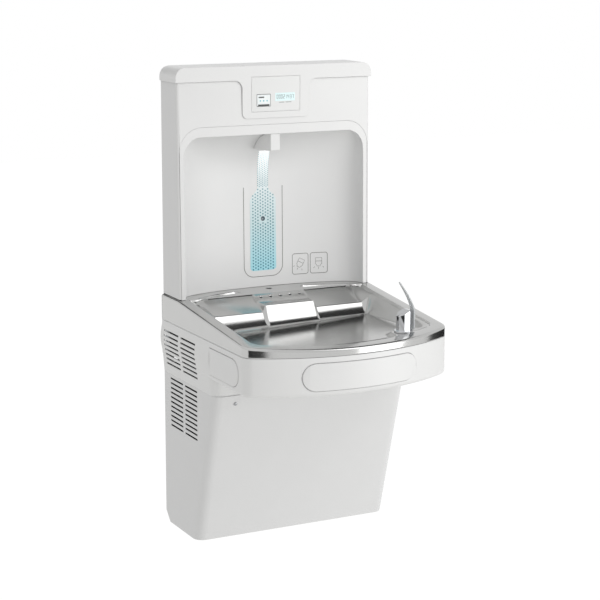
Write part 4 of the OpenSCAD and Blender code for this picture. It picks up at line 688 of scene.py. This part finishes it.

# %% [markdown]
# ## Return springs
# The bar and the pads are pushed back by small coil springs, which get shorter when the control is
# pressed. Each spring is a smooth copy of its node with a mesh of its own. The joint, its axis and
# the travel in the table are not used, so the copy doesn't move with its joint.

# %% Springs as copies of their nodes
for node, joint, axis, travel in (("bar_springs", "push_bar_travel", (0, 1, 0), 5),
                                  ("left_pad_spring", "left_pad_travel", (1, 0, 0), 4),
                                  ("right_pad_spring", "right_pad_travel", (-1, 0, 0), 4)):
    low, high = edges(node)
    spring = settle(node + "_coil", from_node(node, flat=0), ["spring"], [node], fold=60)
    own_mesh(spring)

# %% [markdown]
# ## Mouth guard
# The guard is a clear blade on the right of the bubbler. It stands straight beside the body,
# then leans over the mouth and narrows to a tip. Its two edges curl a little inwards.

# %% Draw the blade along its lean
GUARD_LOW, GUARD_HIGH = edges("bubbler_guard")
GUARD_THICK = 2.6
TIP_HALF, FOOT_MORE, NARROWING = 0.7, 7.3, 0.6
LEANING = 1.35
CURL = 0.9
LEAN_Z = GUARD_LOW.z + 40
blade = bmesh.new()
for point in bmesh.ops.create_grid(blade, x_segments=10, y_segments=44, size=1)["verts"]:
    z = mix(GUARD_LOW.z, GUARD_HIGH.z, (point.co.y + 1) / 2)
    lean = max(0.0, (z - LEAN_Z) / (GUARD_HIGH.z - LEAN_Z))
    half = FOOT_MORE * (1 - lean) ** NARROWING + TIP_HALF
    x = mix(GUARD_HIGH.x - 0.2, GUARD_LOW.x + GUARD_THICK, lean ** LEANING)
    point.co = (x - CURL * point.co.x ** 2 * (1 - lean), BUBBLER.y + point.co.x * half, z)
guard = settle("mouth_guard", blade, ["clear_plastic"], ["bubbler_guard"], fold=60)
sheet = guard.modifiers.new("thickness", "SOLIDIFY")
sheet.thickness = GUARD_THICK * MM
sheet.offset = 1
rounded(guard, 0.6, fold=50)

# %% [markdown]
# ## Prints on the alcove's wall
# The wall of the alcove is hollow like a spoon. A print follows it, so one function gives the
# wall's depth for a width and a height, and each print is a flat net laid on it.

# %% The alcove's wall
CEILING = (0, 0.3, 0.5, 0.66, 0.78)
ARCH_Z, ARCH_HIGH = DECK + 248, 96
HOLLOW, HOLLOW_HALF, HOLLOW_CURVE = 60.0, 215, 2.2
WALL_BACK, WALL_LOW, WALL_TOP, WALL_HIGH = 6, 90, 82, 490
EYE_RISE = 151
PRINT = 0.3


def wall_y(x, z):
    """Depth of the alcove's wall, in front of which a print lies."""
    swell = HOLLOW
    rise = (z - ARCH_Z) / ARCH_HIGH
    if rise > 0:
        low = max(t for t in CEILING if t <= rise)
        high = min(t for t in CEILING if t > rise)
        swell *= mix(math.sqrt(1 - low ** 2), math.sqrt(1 - high ** 2), (rise - low) / (high - low))
    bow = (1 - abs(x / HOLLOW_HALF) ** HOLLOW_CURVE) ** (1 / HOLLOW_CURVE)
    return WALL_BACK - mix(WALL_LOW, WALL_TOP, (z - DECK) / WALL_HIGH) + swell * bow


def ribbon(drawn, path, wide, lay=PRINT):
    """Lays a printed line along (x, z) points on the alcove's wall."""
    last = len(path) - 1
    for point in bmesh.ops.create_grid(drawn, x_segments=last, y_segments=1, size=1)["verts"]:
        i = round((point.co.x + 1) / 2 * last)
        along = Vector(path[min(last, i + 1)]) - Vector(path[max(0, i - 1)])
        x, z = Vector(path[i]) + along.orthogonal().normalized() * point.co.y * wide / 2
        point.co = (x, wall_y(x, z) - lay, z)


def arc_points(cx, cz, radius, start, end, count=8):
    """Points of an arc, by angles in degrees."""
    turns = [math.radians(mix(start, end, i / count)) for i in range(count + 1)]
    return [(cx + radius * math.cos(a), cz + radius * math.sin(a)) for a in turns]


print("wall at the eye", round(wall_y(0, DECK + EYE_RISE), 2))

# %% [markdown]
# The printed bottle is a field of dots in staggered columns over a pale ground. Its colour runs
# from water blue at the foot to white at the mouth. That is partly the print's own fade and partly
# painted light where the lamp shines on it. The pale ground also glows a little there, which is
# painted light too.

# %% Inks, whitened and glowing at the mouth as painted light
INK_FOOT, INK_MOUTH = 0.336, 0.602
INK_MIDDLE = 0.42
PAINTED_GLOW_FROM = 0.75


def ink_and_painted_light(name, low, middle, high, painted_glow=0.0):
    """A screen-print ink whose colour climbs through three values from foot to mouth. Its pale top
    is partly painted lamp light, and a glow share above zero adds a painted glow there.
    """
    made = finish(name, middle, middle, 0.5, relief=0.05)
    graph = made.node_tree
    shader = graph.nodes["Principled BSDF"]
    place = add(graph, "ShaderNodeTexCoord")
    height = add(graph, "ShaderNodeSeparateXYZ", {0: place.outputs["Object"]})
    climb = add(graph, "ShaderNodeMapRange", {"Value": height.outputs["Z"],
                                              "From Min": INK_FOOT, "From Max": INK_MOUTH})
    # the ramp's pale top is partly the print's fade and partly painted lamp light
    ramp = add(graph, "ShaderNodeValToRGB", {"Fac": climb.outputs[0]})
    stops = ramp.color_ramp.elements
    stops[0].color = linear(low)
    stops[1].color = linear(high)
    stops.new(INK_MIDDLE).color = linear(middle)
    graph.links.new(ramp.outputs[0], shader.inputs["Base Color"])
    # painted light: near the mouth the print glows as if lit by the lamp
    if painted_glow:
        lit = add(graph, "ShaderNodeMapRange", {"Value": climb.outputs[0],
                                                "From Min": PAINTED_GLOW_FROM, "To Max": painted_glow})
        graph.links.new(lit.outputs[0], shader.inputs["Emission Strength"])
        shader.inputs["Emission Color"].default_value = linear("#FFFFFF")
    return made


# painted light: the pale ground whitens and glows at the mouth, where the lamp shines
finishes["bottle_ground"] = ink_and_painted_light("pale_blue_print_and_painted_light", "#A6E0EB", "#CFE3E6", "#FFFFFF", painted_glow=0.4)
finishes["bottle_dots"] = ink_and_painted_light("blue_dot_print_and_painted_light", "#0F7C99", "#4A8791", "#B4D6DC")
finishes["grey_ink"] = finish("grey_print", "#6E6B69", "#757270", 0.5, relief=0.05)
print("inks", [name for name in finishes if name.startswith("bottle")])

# %% [markdown]
# The bottle's outline has a rounded foot, a straight body, a soft shoulder and a neck. Dots
# fill it, larger in the body than in the neck, but for a clear ring round the sensor's eye.

# %% Print the bottle
BODY_HALF, NECK_HALF, FOOT_R = 31.5, 12.8, 7
EYE_CLEAR = 9
FOOT_Z, SHOULDER_Z, NECK_Z, MOUTH_Z = DECK + 36, DECK + 192, DECK + 221, DECK + 301


def bottle_half(z):
    """Half width of the printed bottle at a height."""
    foot = max(0.0, FOOT_Z + FOOT_R - z)
    body = BODY_HALF - (FOOT_R - math.sqrt(max(0.0, FOOT_R ** 2 - foot ** 2)))
    return mix(body, NECK_HALF, smooth((z - SHOULDER_Z) / (NECK_Z - SHOULDER_Z)))


ground = bmesh.new()
for point in bmesh.ops.create_grid(ground, x_segments=12, y_segments=96, size=1)["verts"]:
    z = mix(FOOT_Z, MOUTH_Z, (point.co.y + 1) / 2)
    x = point.co.x * bottle_half(z)
    point.co = (x, wall_y(x, z) - PRINT, z)
settle("bottle_ground_print", ground, ["bottle_ground"])

dots = bmesh.new()
upright = Matrix.Rotation(math.radians(90), 4, "X")
for low, high, pitch, rise, size in ((FOOT_Z + 3, NECK_Z - 2, 6.1, 6.8, 1.75),
                                     (NECK_Z + 1, MOUTH_Z - 2, 4.0, 4.6, 1.3)):
    for column in range(-5, 6):
        for row in range(round((high - low) / rise) + 1):
            x, z = column * pitch, low + (row + column % 2 / 2) * rise
            eye = math.hypot(x, z - DECK - EYE_RISE) < EYE_CLEAR
            if z < high and abs(x) < bottle_half(z) - size + 0.6 and not eye:
                place = Matrix.Translation((x, wall_y(x, z) - PRINT - 0.15, z))
                bmesh.ops.create_circle(dots, cap_ends=True, segments=10, radius=size,
                                        matrix=place @ upright)
settle("bottle_dot_print", dots, ["bottle_dots"])

# %% [markdown]
# A thin line frames the bottle like the outline of a jar, open at the top. Two small signs
# beside it show where to hold a bottle.

# %% Print the lines
lines = bmesh.new()
JAR, JAR_LOW, JAR_HIGH, JAR_R = 47, DECK + 22.5, DECK + 222, 24
ribbon(lines, [(-JAR, z) for z in steps(JAR_HIGH, JAR_LOW + JAR_R, 12)]
       + arc_points(JAR_R - JAR, JAR_LOW + JAR_R, JAR_R, 180, 270, 12)
       + [(x, JAR_LOW) for x in steps(JAR_R - JAR + 6, JAR - JAR_R, 6)]
       + arc_points(JAR - JAR_R, JAR_LOW + JAR_R, JAR_R, 270, 360, 12)
       + [(JAR, z) for z in steps(JAR_LOW + JAR_R + 12, JAR_HIGH, 12)] + [(JAR, JAR_HIGH)], 1.3)
BOTTLE_SIGN = ([(-4, 10), (-4, 12), (-7, 16), (-7, 30), (7, 30), (7, 16), (4, 12), (4, 10),
                (-4, 10)], [(-7, 22), (7, 22)], [(-12, 6), (-9, 9)], [(12, 6), (9, 9)],
               [(0, 3), (0, 8)])
for left, right, tilt in ((70.6, 108, 0.45), (113, 152, 0.0)):
    low, high, r = DECK + 21, DECK + 67, 5
    ribbon(lines, arc_points(right - r, high - r, r, 0, 90)
           + arc_points(left + r, high - r, r, 90, 180)
           + arc_points(left + r, low + r, r, 180, 270)
           + arc_points(right - r, low + r, r, 270, 360)
           + [(right, high - r)], 1.1)
    cx = (left + right) / 2
    for path in BOTTLE_SIGN:
        ribbon(lines, [(cx + x * math.cos(tilt) + (z - 20) * math.sin(tilt),
                        low + 23 + (z - 18) * math.cos(tilt) * 0.95 - x * math.sin(tilt))
                       for x, z in path], 0.8)
settle("grey_line_print", lines, ["grey_ink"])

# %% [markdown]
# ## Display
# A pale window closes the display. A counter with seven-segment digits and a filter gauge
# with three small lights show in it. Each is flat, so thin plates on the window do.

# %% Display finishes
finishes["window"] = finish("pale_window_acrylic", "#DCDCDB", "#DADBDA", 0.18, relief=0.02)
finishes["counter"] = finish("lit_counter_glass", "#DFF3F4", "#D9F1F3", 0.2, relief=0.02)
finishes["digit"] = finish("counter_segment", "#1F3032", "#243638", 0.4, relief=0.02)
finishes["gauge"] = finish("gauge_plate", "#EEF2F2", "#E9F0F0", 0.3, relief=0.02)
finishes["gauge_black"] = finish("gauge_frame_print", "#2C2D2E", "#343536", 0.4, relief=0.02)
finishes["gauge_light"] = finish("gauge_light", "#5FB9C4", "#67C0CA", 0.3, relief=0.02)
print("finishes", len(finishes))

# %% [markdown]
# A digit is a set of lit bars. The table places each bar by its column and row in the figure,
# and says whether it lies level.

# %% Plates and digits
FACE_Y = edges("tower_cap")[0].y


def plate(drawn, cx, cz, wide, high, depth, thick=0.1, corner=0.0):
    """A thin upright plate with its front at a depth behind the band's face."""
    place = Matrix.Translation((cx, FACE_Y + depth + thick / 2, cz))
    size = Matrix.Diagonal((wide, thick, high, 1))
    made = bmesh.ops.create_cube(drawn, size=1, matrix=place @ size)
    if corner:
        through = [e for e in dict.fromkeys(e for v in made["verts"] for e in v.link_edges)
                   if abs(e.verts[0].co.y - e.verts[1].co.y) > thick / 2]
        bmesh.ops.bevel(drawn, geom=through, offset=corner, segments=5, profile=0.5,
                        affect="EDGES", material=-1)


SEGMENTS = {"a": (0, 1, 1), "b": (1, 0.5, 0), "c": (1, -0.5, 0), "d": (0, -1, 1),
            "e": (-1, -0.5, 0), "f": (-1, 0.5, 0), "g": (0, 0, 1)}
SHOWN = {"0": "abcdef", "1": "bc", "2": "abged", "3": "abgcd", "4": "fgbc", "7": "abc"}
COUNT = "00021437"
DIGIT_X, DIGIT_PITCH = 3.6, 5.25
BAR_X, BAR_Z = 1.45, 4.0
LEVEL_BAR, UPRIGHT_BAR = (2.3, 0.75), (0.75, 3.5)
WINDOW_Z, LCD_Z = DECK + 429, DECK + 421
GAUGE_X = -29

# %% Build the display
window = bmesh.new()
plate(window, 0, WINDOW_Z, 114.4, 73.4, 0.3, thick=0.3, corner=2.5)
settle("display_window", window, ["window"], ["display_lens"])
counter = bmesh.new()
plate(counter, 22, LCD_Z + 1, 47, 17.5, 0.2, corner=1)
settle("counter_glass", counter, ["counter"])
digits = bmesh.new()
for i, figure in enumerate(COUNT):
    for name in SHOWN[figure]:
        sx, sz, level = SEGMENTS[name]
        size = LEVEL_BAR if level else UPRIGHT_BAR
        plate(digits, DIGIT_X + DIGIT_PITCH * i + BAR_X * sx, LCD_Z + 1.5 + BAR_Z * sz, *size,
              0.12, thick=0.06)
plate(digits, 14, LCD_Z - 10.5, 12, 0.9, 0.12, thick=0.06)
plate(digits, 30, LCD_Z - 10.5, 14, 0.9, 0.12, thick=0.06)
settle("counter_digits", digits, ["digit"])
gauge = bmesh.new()
plate(gauge, GAUGE_X, LCD_Z - 5, 31, 24, 0.14, corner=1)
settle("gauge_face", gauge, ["gauge"])
frame_print = bmesh.new()
plate(frame_print, GAUGE_X, LCD_Z - 5, 33, 26.5, 0.2, corner=1.6)
plate(frame_print, GAUGE_X, LCD_Z - 15.2, 27, 3.4, 0.1, thick=0.03)
plate(frame_print, -34.5, LCD_Z + 1.5, 13, 2.6, 0.1, thick=0.03)
settle("gauge_frame", frame_print, ["gauge_black"])
lights = bmesh.new()
for x in (GAUGE_X - 8, GAUGE_X, GAUGE_X + 8):
    bmesh.ops.create_circle(lights, cap_ends=True, segments=16, radius=1.6,
                            matrix=Matrix.Translation((x, FACE_Y + 0.1, LCD_Z - 6)) @ upright)
settle("gauge_lights", lights, ["gauge_light"])
